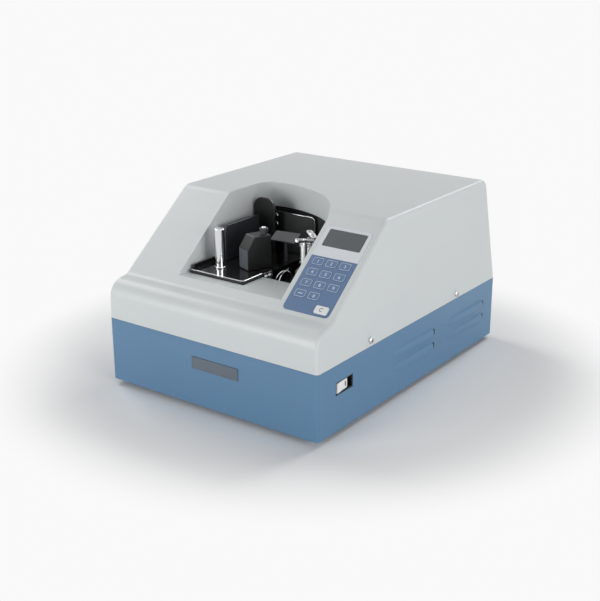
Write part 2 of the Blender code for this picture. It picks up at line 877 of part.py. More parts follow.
def cut_console(cover, console):
    """The shallow seat of the label, the holes under the keys and the window behind the display."""
    middle = LABEL_START + LABEL_LENGTH / 2
    seat = rectangle(
        -LABEL_WIDTH / 2 - GAP,
        LABEL_WIDTH / 2 + GAP,
        middle - LABEL_LENGTH / 2 - GAP,
        middle + LABEL_LENGTH / 2 + GAP,
        LABEL_CORNER,
    )
    cut(cover, helper("label_seat", prism_z(rounded(seat), -LABEL_RECESS, OVERRUN), parent=console))
    holes = []
    reach = 2 * (KEY_FLANGE_REACH + GAP)
    for _, x, up in key_places():
        hole = block(KEY_WIDTH + reach, KEY_LENGTH + reach, -COVER_WALL - OVERRUN, OVERRUN)
        holes.append((hole, (x, up, 0)))
    clear = block(CLEAR_WIDTH + reach, CLEAR_LENGTH + reach, -COVER_WALL - OVERRUN, OVERRUN)
    holes.append((clear, (KEY_COLUMN_PITCH + CLEAR_X_OFFSET, CLEAR_UP, 0)))
    view_width = WINDOW_WIDTH - 2 * WINDOW_SEAT
    view_length = WINDOW_LENGTH - 2 * WINDOW_SEAT
    view = block(view_width, view_length, -COVER_WALL - OVERRUN, OVERRUN)
    holes.append((view, (0, WINDOW_CENTRE, 0)))
    cut(cover, helper("console_holes", merged(*holes), parent=console))


def add_board_bosses(cover, console):
    """Bosses on the inside of the slope, down to the control board."""
    bosses = []
    for x, up in boss_places():
        boss = disc(BOARD_BOSS_RADIUS, -CONTROL_BOARD_DEPTH + GAP, -COVER_WALL / 2, SMALL_SIDES // 2)
        bosses.append((boss, (x, up, 0)))
    fuse(cover, helper("board_bosses", merged(*bosses), parent=console))


def cover_screw_places():
    return [
        ("front", COVER_SCREW_FRONT_Y, COVER_SCREW_FRONT_RISE),
        ("rear", COVER_SCREW_REAR_Y, COVER_SCREW_REAR_RISE),
    ]


def side_drill(name, y, z, length):
    """A drill that runs right across the case along X."""
    drill = disc(SCREW_SHANK_RADIUS + GAP, -length / 2, length / 2)
    return helper(name, drill, (0, y, z), rotation=(0, pi / 2, 0))


def make_cover_screws():
    """Four pan-head screws, each with its head just off the leaning side."""
    number = 0
    for _, y, rise in cover_screw_places():
        seat = CASE_WIDTH / 2 - side_lean(SEAM + rise - SCREW_HEAD_RADIUS) + GAP
        profile = [
            (0, seat - SCREW_SHANK_LENGTH),
            (SCREW_SHANK_RADIUS, seat - SCREW_SHANK_LENGTH),
            (SCREW_SHANK_RADIUS, seat),
            (SCREW_HEAD_RADIUS, seat),
            (SCREW_HEAD_RADIUS, seat + SCREW_HEAD_HEIGHT / 2),
            (SCREW_HEAD_RADIUS * cos(pi / 4), seat + SCREW_HEAD_HEIGHT),
            (0, seat + SCREW_HEAD_HEIGHT),
        ]
        for side in (1, -1):
            number += 1
            piece(
                f"cover_screw_{number}",
                turned(profile, SMALL_SIDES),
                chrome(),
                (0, y, SEAM + rise),
                rotation=(0, side * pi / 2, 0),
                smooth=True,
            )


def louvre_section(y, out, high):
    """One section of a louvre: a half-elliptical skin that starts inside the thickness of the wall."""
    root = -BASE_SHEET / 4
    reach, half = LOUVRE_BULGE * out, LOUVRE_HEIGHT / 2 * high
    inner_reach = max(reach - LOUVRE_SKIN, root + LOUVRE_SKIN / 8)
    inner_half = half - LOUVRE_SKIN
    outer, inner = [], []
    for step in range(ARC_STEPS + 1):
        angle = pi / 2 - pi * step / ARC_STEPS
        outer.append((root + (reach - root) * cos(angle), y, half * sin(angle)))
        inner.append((root + (inner_reach - root) * cos(angle), y, inner_half * sin(angle)))
    return outer + inner[::-1]


def louvre_hood():
    """A hood that rises from the wall at its front to its full bulge at its open rear."""
    shares = LOUVRE_SHAPE_SHARES
    return loft([louvre_section(LOUVRE_LENGTH * along, out, high) for along, out, high in shares])


def louvre_slot():
    """The slot in the wall under a hood, which runs on past the open end of the hood."""
    half = LOUVRE_HEIGHT / 2 - LOUVRE_SKIN - GAP
    start = LOUVRE_LENGTH * LOUVRE_SLOT_SHARE
    outline = rounded(rectangle(start, LOUVRE_LENGTH + LOUVRE_MOUTH, -half, half, LOUVRE_MOUTH))
    return prism_x(outline, -BASE_SHEET - OVERRUN, BASE_SHEET / 8)


def louvre_places():
    places = []
    for row in range(LOUVRE_ROWS):
        z = BASE_FLOOR + LOUVRE_TOP_RISE - LOUVRE_HEIGHT / 2 - row * LOUVRE_PITCH
        for start in (LOUVRE_FRONT_Y, LOUVRE_REAR_Y):
            places.append((start, z))
    return places


def side_louvres(name, shape):
    """One shape at each louvre of both sides, as one helper."""
    copies = []
    for side in (1, -1):
        for y, z in louvre_places():
            copy = shape()
            mirror = Matrix.Translation((side * CASE_WIDTH / 2, y, z)) @ Matrix.Scale(side, 4, (1, 0, 0))
            bmesh.ops.transform(copy, matrix=mirror, verts=copy.verts)
            bmesh.ops.triangulate(copy, faces=copy.faces)
            copies.append((copy, (0, 0, 0)))
    return helper(name, merged(*copies))


def make_base():
    case = rectangle(-CASE_WIDTH / 2, CASE_WIDTH / 2, FRONT, REAR, CASE_CORNER)
    base = piece("base_case", prism_z(rounded(case), BASE_FLOOR, SEAM), base_blue(), smooth=True)
    inside = prism_z(rounded(case, [BASE_SHEET] * len(case)), FLOOR_TOP, SEAM + OVERRUN)
    cut(base, helper("base_cavity", inside))
    fuse(base, side_louvres("louvre_hoods", louvre_hood))
    cut(base, side_louvres("louvre_slots", louvre_slot))
    lugs = []
    inner_wall = CASE_WIDTH / 2 - BASE_SHEET
    lug_face = CASE_WIDTH / 2 - COVER_WALL - side_lean(SEAM + LUG_RISE) - GAP
    for _, y, _ in cover_screw_places():
        for side in (1, -1):
            near, far = sorted((side * (lug_face - LUG_SHEET), side * lug_face))
            tall = rounded(rectangle(near, far, y - LUG_WIDTH / 2, y + LUG_WIDTH / 2))
            lugs.append(helper("lug", prism_z(tall, SEAM - LUG_DROP, SEAM + LUG_RISE)))
            near, far = sorted((side * (lug_face - LUG_SHEET / 2), side * (inner_wall + BASE_SHEET / 2)))
            half = LUG_WIDTH / 2 - LUG_SHEET
            root = rounded(rectangle(near, far, y - half, y + half))
            lugs.append(helper("lug_root", prism_z(root, SEAM - LUG_DROP + LUG_SHEET, SEAM - LUG_DROP / 2)))
    fuse(base, *lugs)
    for name, y, rise in cover_screw_places():
        cut(base, side_drill(f"lug_drill_{name}", y, SEAM + rise, CASE_WIDTH))
    cut_base_front_and_side(base)
    cut_base_rear(base)
    add_standoffs(base)
    for x, y in foot_places():
        drill = disc(FOOT_STEM_RADIUS + GAP, BASE_FLOOR - OVERRUN, FLOOR_TOP + OVERRUN)
        cut(base, helper("foot_drill", drill, (x, y, 0)))


def cut_base_front_and_side(base):
    plate = rounded(
        rectangle(
            PLATE_X - PLATE_WIDTH / 2 - GAP,
            PLATE_X + PLATE_WIDTH / 2 + GAP,
            BASE_FLOOR + PLATE_RISE - PLATE_HEIGHT / 2 - GAP,
            BASE_FLOOR + PLATE_RISE + PLATE_HEIGHT / 2 + GAP,
        )
    )
    cut(base, helper("nameplate_seat", prism_y(plate, FRONT - OVERRUN, FRONT + PLATE_RECESS)))
    switch = rounded(
        rectangle(
            SWITCH_Y - SWITCH_LENGTH / 2,
            SWITCH_Y + SWITCH_LENGTH / 2,
            BASE_FLOOR + SWITCH_RISE - SWITCH_HEIGHT / 2,
            BASE_FLOOR + SWITCH_RISE + SWITCH_HEIGHT / 2,
            POST_EDGE,
        )
    )
    right_wall = CASE_WIDTH / 2
    hole = prism_x(switch, right_wall - BASE_SHEET - OVERRUN, right_wall + OVERRUN)
    cut(base, helper("switch_hole", hole))


def cut_base_rear(base):
    """The hole of the mains inlet."""
    inlet = rounded(
        rectangle(
            INLET_X - INLET_BODY_WIDTH / 2 - GAP,
            INLET_X + INLET_BODY_WIDTH / 2 + GAP,
            BASE_FLOOR + INLET_RISE - INLET_BODY_HEIGHT / 2 - GAP,
            BASE_FLOOR + INLET_RISE + INLET_BODY_HEIGHT / 2 + GAP,
        )
    )
    cut(base, helper("inlet_hole", prism_y(inlet, REAR - BASE_SHEET - OVERRUN, REAR + OVERRUN)))


def add_standoffs(base):
    """Four pegs on the floor that hold the main board."""
    pegs = []
    for x, y in board_corners():
        peg_top = FLOOR_TOP + STANDOFF_HEIGHT
        peg = disc(STANDOFF_RADIUS, FLOOR_TOP - BASE_SHEET / 2, peg_top, SMALL_SIDES // 2)
        pegs.append((peg, (MAIN_BOARD_X + x, MAIN_BOARD_Y + y, 0)))
    fuse(base, helper("standoffs", merged(*pegs)))


def foot_places():
    reach_x = CASE_WIDTH / 2 - FOOT_INSET
    reach_y = CASE_DEPTH / 2 - FOOT_INSET
    return [(x * reach_x, y * reach_y) for x in (-1, 1) for y in (-1, 1)]


def make_feet():
    """Push-in rubber feet: a disc under the floor, a stem through it and a barb above it."""
    profile = [
        (0, 0),
        (FOOT_RADIUS - FOOT_STEM_RADIUS / 2, 0),
        (FOOT_RADIUS, FOOT_STEM_RADIUS / 2),
        (FOOT_RADIUS, FOOT_HEIGHT - GAP),
        (FOOT_STEM_RADIUS, FOOT_HEIGHT - GAP),
        (FOOT_STEM_RADIUS, FLOOR_TOP + GAP),
        (FOOT_BARB_RADIUS, FLOOR_TOP + GAP),
        (FOOT_STEM_RADIUS, FLOOR_TOP + GAP + FOOT_BARB_HEIGHT),
        (0, FLOOR_TOP + GAP + FOOT_BARB_HEIGHT),
    ]
    for number, (x, y) in enumerate(foot_places(), 1):
        piece(f"rubber_foot_{number}", turned(profile, SMALL_SIDES), rubber(), (x, y, 0), smooth=True)


def make_nameplate():
    plate = rounded(
        rectangle(
            -PLATE_WIDTH / 2,
            PLATE_WIDTH / 2,
            -PLATE_HEIGHT / 2,
            PLATE_HEIGHT / 2,
        )
    )
    back = PLATE_RECESS - GAP
    place = (PLATE_X, FRONT, BASE_FLOOR + PLATE_RISE)
    piece("nameplate", prism_y(plate, back - PLATE_THICK, back), dark_grey_plastic(), place)


def make_switch():
    """A recessed rocker switch: a black body that fills the cut-out, and a white rocker towards its front."""
    wall = CASE_WIDTH / 2
    centre_z = BASE_FLOOR + SWITCH_RISE
    body_length = SWITCH_LENGTH - 2 * GAP
    body_height = SWITCH_HEIGHT - 2 * GAP
    outline = rounded(rectangle(-body_length / 2, body_length / 2, -body_height / 2, body_height / 2))
    front = -BASE_SHEET / 3
    body = piece(
        "switch_body",
        prism_x(outline, front - SWITCH_BODY_DEPTH, front),
        black_plastic(),
        (wall, SWITCH_Y, centre_z),
    )
    well = rounded(
        rectangle(
            -body_length / 2 + SWITCH_RIM,
            body_length / 2 - SWITCH_RIM,
            -body_height / 2 + SWITCH_RIM,
            body_height / 2 - SWITCH_RIM,
        )
    )
    place = (wall, SWITCH_Y, centre_z)
    cut(body, helper("rocker_well", prism_x(well, front - ROCKER_WELL_DEPTH, OVERRUN), place))
    flange_reach = 2 * SWITCH_RIM
    flange = rounded(
        rectangle(
            -body_length / 2 - flange_reach,
            body_length / 2 + flange_reach,
            -body_height / 2 - SWITCH_RIM,
            body_height / 2 + SWITCH_RIM,
        )
    )
    inner_face = -BASE_SHEET - GAP
    rim = helper("switch_flange", prism_x(flange, inner_face - SWITCH_RIM_THICK, inner_face), place)
    cut(rim, bpy.data.objects["rocker_well"])
    fuse(body, rim)
    make_rocker(wall, centre_z, front)


def make_rocker(wall, centre_z, front):
    """The rocker turns on its own upright axis, set in from the face."""
    place = (wall + front - ROCKER_PIVOT_INSET, SWITCH_Y - ROCKER_OFFSET, centre_z)
    pivot = empty("rocker_axis", place, ROCKER_TILT)
    half = ROCKER_LENGTH / 2
    outline = [
        (-ROCKER_THICK / 2, -half),
        (ROCKER_THICK / 2, -half),
        (ROCKER_THICK / 2 - ROCKER_PIVOT_INSET / 8, 0),
        (ROCKER_THICK / 2, half * ROCKER_FLAT_SHARE),
        (ROCKER_THICK / 3, half * ROCKER_ROUND_SHARE),
        (-ROCKER_THICK / 4, half),
        (-ROCKER_THICK / 2, half * ROCKER_FLAT_SHARE),
    ]
    piece(
        "power_rocker",
        prism_z(outline, -ROCKER_HEIGHT / 2, ROCKER_HEIGHT / 2),
        white_plastic(),
        parent=pivot,
    )


def make_inlet():
    """A mains inlet: a flange on the rear wall, a body through it, three blades and a fuse drawer."""
    width, height = INLET_BODY_WIDTH, INLET_BODY_HEIGHT
    body_outline = rounded(rectangle(-width / 2, width / 2, -height / 2, height / 2))
    place = (INLET_X, REAR, BASE_FLOOR + INLET_RISE)
    body = prism_y(body_outline, -INLET_BODY_DEPTH, GAP * 2)
    socket = piece("inlet_socket", body, black_plastic(), place)
    flange_outline = rounded(
        rectangle(
            -INLET_FLANGE_WIDTH / 2,
            INLET_FLANGE_WIDTH / 2,
            -FUSE_DRAWER_DROP - FUSE_DRAWER_HEIGHT / 2 - INLET_WALL,
            height / 2 + INLET_WALL,
            INLET_WALL,
        )
    )
    flange = helper("inlet_flange", prism_y(flange_outline, GAP, GAP + INLET_FLANGE_THICK), place)
    recess_outline = rounded(
        rectangle(
            -width / 2 + INLET_WALL,
            width / 2 - INLET_WALL,
            -height / 2 + INLET_WALL,
            height / 2 - INLET_WALL,
            INLET_WALL,
        )
    )
    recess = helper("inlet_recess", prism_y(recess_outline, INLET_FLOOR - INLET_BODY_DEPTH, OVERRUN), place)
    fuse(socket, flange)
    cut(socket, recess)
    floor = INLET_FLOOR - INLET_BODY_DEPTH
    blade_outline = rounded(
        rectangle(-INLET_PIN_WIDTH / 2, INLET_PIN_WIDTH / 2, -INLET_PIN_HEIGHT / 2, INLET_PIN_HEIGHT / 2)
    )
    for column, lift in ((-1, -1), (0, 1), (1, -1)):
        blade = prism_y(blade_outline, floor - INLET_FLOOR / 2, floor + INLET_PIN_LENGTH)
        shift = Vector((column * INLET_PIN_SPREAD, 0, lift * INLET_PIN_STAGGER)) + Vector(place)
        fuse(socket, helper("inlet_blade", blade, shift))
    drawer = rounded(
        rectangle(
            -FUSE_DRAWER_WIDTH / 2,
            FUSE_DRAWER_WIDTH / 2,
            -FUSE_DRAWER_DROP - FUSE_DRAWER_HEIGHT / 2,
            -FUSE_DRAWER_DROP + FUSE_DRAWER_HEIGHT / 2,
        )
    )
    face = GAP + INLET_FLANGE_THICK
    front = prism_y(drawer, face - FUSE_GROOVE, face + FUSE_DRAWER_PROUD)
    fuse(socket, helper("fuse_drawer", front, place))


def make_frame():
    """The folded sheet that carries the bay and the head, with holes for the housing and the pivot."""
    half = FRAME_WIDTH / 2
    low, high = FLOOR_TOP + GAP, FRAME_TOP_Z
    sheet = FRAME_SHEET
    outline = [
        (-half + FRAME_FOOT, low + sheet),
        (-half + sheet, low + sheet),
        (-half + sheet, high - sheet),
        (half - sheet, high - sheet),
        (half - sheet, low + sheet),
        (half - FRAME_FOOT, low + sheet),
        (half - FRAME_FOOT, low),
        (half, low),
        (half, high),
        (-half, high),
        (-half, low),
        (-half + FRAME_FOOT, low),
    ]
    frame = piece("mechanism_frame", prism_y(outline, FRAME_FRONT_Y, FRAME_REAR_Y), black_sheet())
    top, bottom = high + OVERRUN, high - sheet - OVERRUN
    hole = disc(HOUSING_BARREL_RADIUS + GAP, bottom, top, ROUND_SIDES)
    cut(frame, helper("housing_hole", hole, (HEAD_X, HEAD_Y, 0)))
    pin = disc(PIVOT_RADIUS + GAP, bottom, top)
    cut(frame, helper("pivot_hole", pin, (BLOCK_PIVOT_X, BLOCK_PIVOT_Y, 0)))


def make_tray():
    """The polished tray, on four legs that reach the frame, with a lip along its left side."""
    corners = rectangle(TRAY_LEFT, TRAY_RIGHT, TRAY_FRONT_Y, TRAY_REAR_Y, TRAY_CORNER)
    tray = piece("tray", prism_z(rounded(corners), TRAY_BOTTOM, TRAY_TOP), black_gloss())
    lip = rectangle(
        TRAY_LEFT + GAP,
        TRAY_LEFT + TRAY_LIP_THICK,
        TRAY_FRONT_Y + TRAY_CORNER + TRIM_WIDTH,
        TRAY_REAR_Y - TRAY_CORNER,
    )
    fuse(tray, helper("tray_lip", prism_z(rounded(lip), TRAY_BOTTOM + GAP, TRAY_TOP + TRAY_LIP_HEIGHT)))
    for x in (TRAY_LEFT + TRAY_LEG_INSET, TRAY_RIGHT - TRAY_LEG_INSET / 2):
        for y in (TRAY_FRONT_Y + TRAY_LEG_FRONT_INSET, TRAY_REAR_Y - TRAY_LEG_INSET):
            leg = disc(TRAY_LEG_RADIUS, FRAME_TOP_Z + GAP, TRAY_BOTTOM + TRAY_THICK / 2)
            fuse(tray, helper("tray_leg", leg, (x, y, 0)))
    for name, x, y, radius in (
        ("post", POST_X, POST_Y, POST_STUD_RADIUS),
        ("pivot", BLOCK_PIVOT_X, BLOCK_PIVOT_Y, PIVOT_RADIUS),
    ):
        drill = disc(radius + GAP, TRAY_BOTTOM - OVERRUN, TRAY_TOP + OVERRUN)
        cut(tray, helper(f"tray_{name}_hole", drill, (x, y, 0)))
    make_tray_trim()


def make_tray_trim():
    """A chrome strip along the front and right edges of the tray's top."""
    back = LEDGE_BACK_Y
    outer = [
        (TRAY_LEFT + TRAY_CORNER, TRAY_FRONT_Y),
        (TRAY_RIGHT - TRAY_CORNER, TRAY_FRONT_Y),
        (TRAY_RIGHT, TRAY_FRONT_Y + TRAY_CORNER),
        (TRAY_RIGHT, back),
    ]
    inner = [
        (TRAY_RIGHT - TRIM_WIDTH, back),
        (TRAY_RIGHT - TRIM_WIDTH, TRAY_FRONT_Y + TRAY_CORNER + TRIM_WIDTH / 2),
        (TRAY_RIGHT - TRAY_CORNER - TRIM_WIDTH / 2, TRAY_FRONT_Y + TRIM_WIDTH),
        (TRAY_LEFT + TRAY_CORNER, TRAY_FRONT_Y + TRIM_WIDTH),
    ]
    piece("tray_trim", prism_z(outer + inner, TRAY_TOP + GAP, TRAY_TOP + GAP + TRIM_HEIGHT), chrome())


def make_guide_post():
    """The chrome post that the notes lie against, with a foot ring and a stud through the tray."""
    seat = TRAY_TOP + GAP
    profile = [
        (0, TRAY_BOTTOM),
        (POST_STUD_RADIUS, TRAY_BOTTOM),
        (POST_STUD_RADIUS, seat),
        (POST_RING_RADIUS, seat),
        (POST_RING_RADIUS, seat + POST_RING_HEIGHT),
        (POST_RADIUS, seat + POST_RING_HEIGHT),
        (POST_RADIUS, seat + POST_HEIGHT - POST_EDGE),
        (POST_RADIUS - POST_EDGE, seat + POST_HEIGHT),
        (0, seat + POST_HEIGHT),
    ]
    piece("guide_post", turned(profile), chrome(), (POST_X, POST_Y, 0), smooth=True)


def make_guide_plate():
    """An upright plate along the left of the notes, on a short foot."""
    low = TRAY_TOP + GAP
    outline = rounded(
        [
            (GUIDE_FRONT_Y, low, 0),
            (GUIDE_REAR_Y, low, 0),
            (GUIDE_REAR_Y, low + GUIDE_HEIGHT, 0),
            (GUIDE_FRONT_Y, low + GUIDE_HEIGHT, GUIDE_CORNER),
        ]
    )
    left, right = GUIDE_X - GUIDE_THICK / 2, GUIDE_X + GUIDE_THICK / 2
    plate = piece("guide_plate", prism_x(outline, left, right), dark_grey_plastic())
    foot_front = GUIDE_FRONT_Y + GUIDE_FOOT
    foot_rear = GUIDE_REAR_Y - GUIDE_FOOT
    foot = rounded(rectangle(left - GUIDE_FOOT, left + GUIDE_THICK / 2, foot_front, foot_rear))
    fuse(plate, helper("guide_foot", prism_z(foot, low, low + GUIDE_FOOT_THICK)))


def make_press_block():
    """The block that presses the notes: it swings on the pivot that runs through its rear end."""
    axis = empty("press_axis", (BLOCK_PIVOT_X, BLOCK_PIVOT_Y, 0), BLOCK_TURN)
    low = TRAY_TOP + GAP
    front = BLOCK_BACK - BLOCK_LENGTH
    outline = rounded(
        [
            (front, low, 0),
            (BLOCK_BACK, low, 0),
            (BLOCK_BACK, low + BLOCK_HEIGHT, BLOCK_EDGE),
            (front + BLOCK_NOSE_RUN, low + BLOCK_HEIGHT, BLOCK_EDGE),
            (front, low + BLOCK_NOSE_HEIGHT, BLOCK_EDGE),
        ]
    )
    left = BLOCK_SIDE_SHIFT - BLOCK_WIDTH / 2
    body = piece("press_block", prism_x(outline, left, left + BLOCK_WIDTH), black_plastic(), parent=axis)
    drill = disc(PIVOT_RADIUS + GAP, low - OVERRUN, low + BLOCK_HEIGHT + OVERRUN)
    cut(body, helper("block_bore", drill, parent=axis))
    knob_low = low + BLOCK_HEIGHT + GAP
    knob_profile = [
        (PIVOT_RADIUS + GAP, knob_low),
        (KNOB_WAIST_RADIUS, knob_low),
        (KNOB_WAIST_RADIUS, knob_low + KNOB_FOOT_HEIGHT),
        (KNOB_RADIUS, knob_low + KNOB_FOOT_HEIGHT),
        (KNOB_RADIUS, knob_low + KNOB_HEIGHT - POST_EDGE),
        (KNOB_RADIUS - POST_EDGE, knob_low + KNOB_HEIGHT),
        (PIVOT_RADIUS + GAP, knob_low + KNOB_HEIGHT),
    ]
    piece("press_knob", turned(knob_profile, SMALL_SIDES), dark_grey_plastic(), parent=axis, smooth=True)
    make_pivot_and_spring(knob_low + KNOB_HEIGHT)


def make_pivot_and_spring(top):
    """The fixed pin, held by a nut under the frame, and the coil round it under the tray."""
    under = FRAME_TOP_Z - FRAME_SHEET - GAP
    profile = [
        (0, under - PIVOT_NUT_HEIGHT),
        (PIVOT_NUT_RADIUS, under - PIVOT_NUT_HEIGHT),
        (PIVOT_NUT_RADIUS, under),
        (PIVOT_RADIUS, under),
        (PIVOT_RADIUS, top + POST_EDGE),
        (PIVOT_RADIUS - POST_EDGE, top + 2 * POST_EDGE),
        (0, top + 2 * POST_EDGE),
    ]
    place = (BLOCK_PIVOT_X, BLOCK_PIVOT_Y, 0)
    piece("press_pivot", turned(profile, SMALL_SIDES), chrome(), place, smooth=True)
    steps = SPRING_TURNS * SPRING_POINTS_PER_TURN
    start = FRAME_TOP_Z + GAP + SPRING_WIRE
    points = []
    for step in range(steps + 1):
        angle = 2 * pi * step / SPRING_POINTS_PER_TURN
        lift = SPRING_PITCH * step / SPRING_POINTS_PER_TURN
        points.append(
            (
                BLOCK_PIVOT_X + SPRING_RADIUS * cos(angle),
                BLOCK_PIVOT_Y + SPRING_RADIUS * sin(angle),
                start + lift,
            )
        )
    tube("press_spring", points, SPRING_WIRE, steel(), 1)


def make_back_of_bay():
    low = FRAME_TOP_Z + GAP
    outline = rounded(
        [
            (BACK_PLATE_LEFT, low, 0),
            (BACK_PLATE_RIGHT, low, 0),
            (BACK_PLATE_RIGHT, low + BACK_PLATE_HEIGHT, BACK_PLATE_CORNER),
            (BACK_PLATE_LEFT, low + BACK_PLATE_HEIGHT, 0),
        ]
    )
    sheet = prism_y(outline, BACK_PLATE_Y, BACK_PLATE_Y + BACK_PLATE_THICK)
    plate = piece("back_plate", sheet, black_sheet())
    foot = rounded(
        rectangle(
            BACK_PLATE_LEFT,
            BACK_PLATE_RIGHT,
            BACK_PLATE_Y - BACK_PLATE_FOOT,
            BACK_PLATE_Y + BACK_PLATE_THICK / 2,
        )
    )
    fuse(plate, helper("back_foot", prism_z(foot, low, low + BACK_PLATE_THICK)))
    corner = rounded(
        [
            (CORNER_PLATE_LEFT, low, 0),
            (CORNER_PLATE_RIGHT, low, 0),
            (CORNER_PLATE_RIGHT, low + CORNER_PLATE_HEIGHT, CORNER_PLATE_RADIUS),
            (CORNER_PLATE_LEFT, low + CORNER_PLATE_HEIGHT, CORNER_PLATE_RADIUS),
        ],
        steps=ARC_STEPS,
    )
    corner_sheet = prism_y(corner, CORNER_PLATE_Y - CORNER_PLATE_THICK, CORNER_PLATE_Y)
    piece("corner_plate", corner_sheet, dark_grey_plastic())
    make_shroud()


def make_shroud():
    """The black wall under the cover's skirt: along the arc, then straight behind the head."""
    corner_x = BAY_LEFT + BAY_CORNER
    corner_y = BAY_ARC_Y + sqrt((BAY_ARC_RADIUS - BAY_CORNER) ** 2 - (corner_x - BAY_ARC_X) ** 2)
    corner_end = atan2(corner_y - BAY_ARC_Y, corner_x - BAY_ARC_X)
    inner, outer = [], []
    for step in range(BAY_ARC_STEPS + 1):
        angle = SHROUD_TURN_ANGLE + (corner_end - SHROUD_TURN_ANGLE) * step / BAY_ARC_STEPS
        for points, radius in ((inner, BAY_ARC_RADIUS), (outer, BAY_ARC_RADIUS + SHROUD_THICK)):
            points.append((BAY_ARC_X + radius * cos(angle), BAY_ARC_Y + radius * sin(angle)))
    for step in range(1, ARC_STEPS + 1):
        angle = corner_end + (SHROUD_LEFT_ANGLE - corner_end) * step / ARC_STEPS
        for points, radius in ((inner, BAY_CORNER), (outer, BAY_CORNER + SHROUD_THICK)):
            points.append((corner_x + radius * cos(angle), corner_y + radius * sin(angle)))
    straight = [(SHROUD_RIGHT_X, outer[0][1]), (SHROUD_RIGHT_X, inner[0][1])]
    outline = straight + inner + outer[::-1]
    piece("well_shroud", prism_z(outline, FRAME_TOP_Z + GAP, SKIRT_BOTTOM - RUNNING_GAP), black_sheet())


def make_bay_details():
    """The bracket beside the tray, the slanted blade by the notes and the bent guard wire."""
    low = FRAME_TOP_Z + GAP
    left = TRAY_RIGHT + RUNNING_GAP
    high = TRAY_TOP + BRACKET_TOP_RISE
    outline = [
        (left, low),
        (left + BRACKET_FOOT, low),
        (left + BRACKET_FOOT, low + BRACKET_THICK),
        (left + BRACKET_THICK, low + BRACKET_THICK),
        (left + BRACKET_THICK, high),
        (left, high),
    ]
    front = BRACKET_Y - BRACKET_LENGTH / 2
    bracket = piece("tray_bracket", prism_y(outline, front, front + BRACKET_LENGTH), chrome())
    for share in (0.25, 0.75):
        head = disc(BRACKET_SCREW_RADIUS, BRACKET_THICK / 2, BRACKET_THICK * 2)
        place = (left, front + BRACKET_LENGTH * share, high - BRACKET_SCREW_RADIUS * 2)
        fuse(bracket, helper("bracket_head", head, place, rotation=(0, pi / 2, 0)))
    make_blade()
    make_guard_wire()


def make_blade():
    seat = TRAY_TOP + GAP
    place = (BLADE_X, BLADE_Y, seat + BLADE_RISE)
    blade = piece(
        "note_blade",
        block(BLADE_LENGTH, BLADE_WIDTH, -BLADE_THICK / 2, BLADE_THICK / 2, BLADE_THICK),
        light_plastic(),
        place,
        rotation=(BLADE_TILT, 0, BLADE_TURN),
    )
    post = disc(BLADE_POST_RADIUS, seat, seat + BLADE_RISE - BLADE_THICK / 2)
    fuse(blade, helper("blade_post", post, (BLADE_X, BLADE_Y, 0)))


def make_guard_wire():
    """A bent chrome wire that rises from the frame and hooks towards the notes."""
    start = Vector((TRAY_RIGHT + 2 * BRACKET_FOOT, BRACKET_Y, FRAME_TOP_Z + GAP))
    up = Vector((0, 0, TRAY_BOTTOM - FRAME_TOP_Z))
    back = Vector((0, BRACKET_LENGTH, 0))
    inwards = Vector((-BRACKET_FOOT / 2, 0, 0))
    knots = [
        start,
        *[start + up * a + back * b + inwards * c for a, b, c in WIRE_SHARES],
    ]
    tube("guard_wire", smooth_route(knots, WIRE_POINTS), WIRE_RADIUS, chrome())


def gear_outline(phase):
    """The outline of a toothed wheel with trapezoid teeth, one tooth centred on the phase angle."""
    pitch_radius = HEAD_RADIUS / 2
    tip, root = pitch_radius + GEAR_ADDENDUM, pitch_radius - GEAR_DEDENDUM
    points = []
    for tooth in range(GEAR_TEETH):
        centre = phase + 2 * pi * tooth / GEAR_TEETH
        for radius, share in (
            (root, -TOOTH_ROOT_SHARE),
            (tip, -TOOTH_TIP_SHARE),
            (tip, TOOTH_TIP_SHARE),
            (root, TOOTH_ROOT_SHARE),
        ):
            angle = centre + share * pi / GEAR_TEETH
            points.append((radius * cos(angle), radius * sin(angle)))
    return points


def spindle_angle(index):
    return HEAD_START + 2 * pi * index / SPINDLE_COUNT


def head_levels():
    """Heights up the head: the flange's top, the gears' underside, the turret's underside."""
    flange_top = FRAME_TOP_Z + GAP + HOUSING_FLANGE_HEIGHT
    return flange_top, flange_top + GEAR_LIFT, FRAME_TOP_Z + TURRET_LIFT


def make_bearing_housing():
    """The housing that is fixed in the frame, with the sun wheel on top of it."""
    flange_top, gear_low, _ = head_levels()
    bore = SHAFT_RADIUS + GAP
    bottom = FRAME_TOP_Z - FRAME_SHEET - HOUSING_BARREL_DROP
    profile = [
        (bore, bottom),
        (HOUSING_BARREL_RADIUS, bottom),
        (HOUSING_BARREL_RADIUS, FRAME_TOP_Z + GAP),
        (HOUSING_FLANGE_RADIUS, FRAME_TOP_Z + GAP),
        (HOUSING_FLANGE_RADIUS, flange_top),
        (bore, flange_top),
    ]
    place = (HEAD_X, HEAD_Y, 0)
    housing = piece("bearing_housing", turned(profile), aluminium(), place, smooth=True)
    high = gear_low + GEAR_HEIGHT
    sun = helper("sun_wheel", prism_z(gear_outline(HEAD_START), flange_top - GEAR_LIFT, high), place)
    cut(sun, helper("sun_bore", disc(bore, flange_top - OVERRUN, high + OVERRUN, ROUND_SIDES), place))
    fuse(housing, sun)


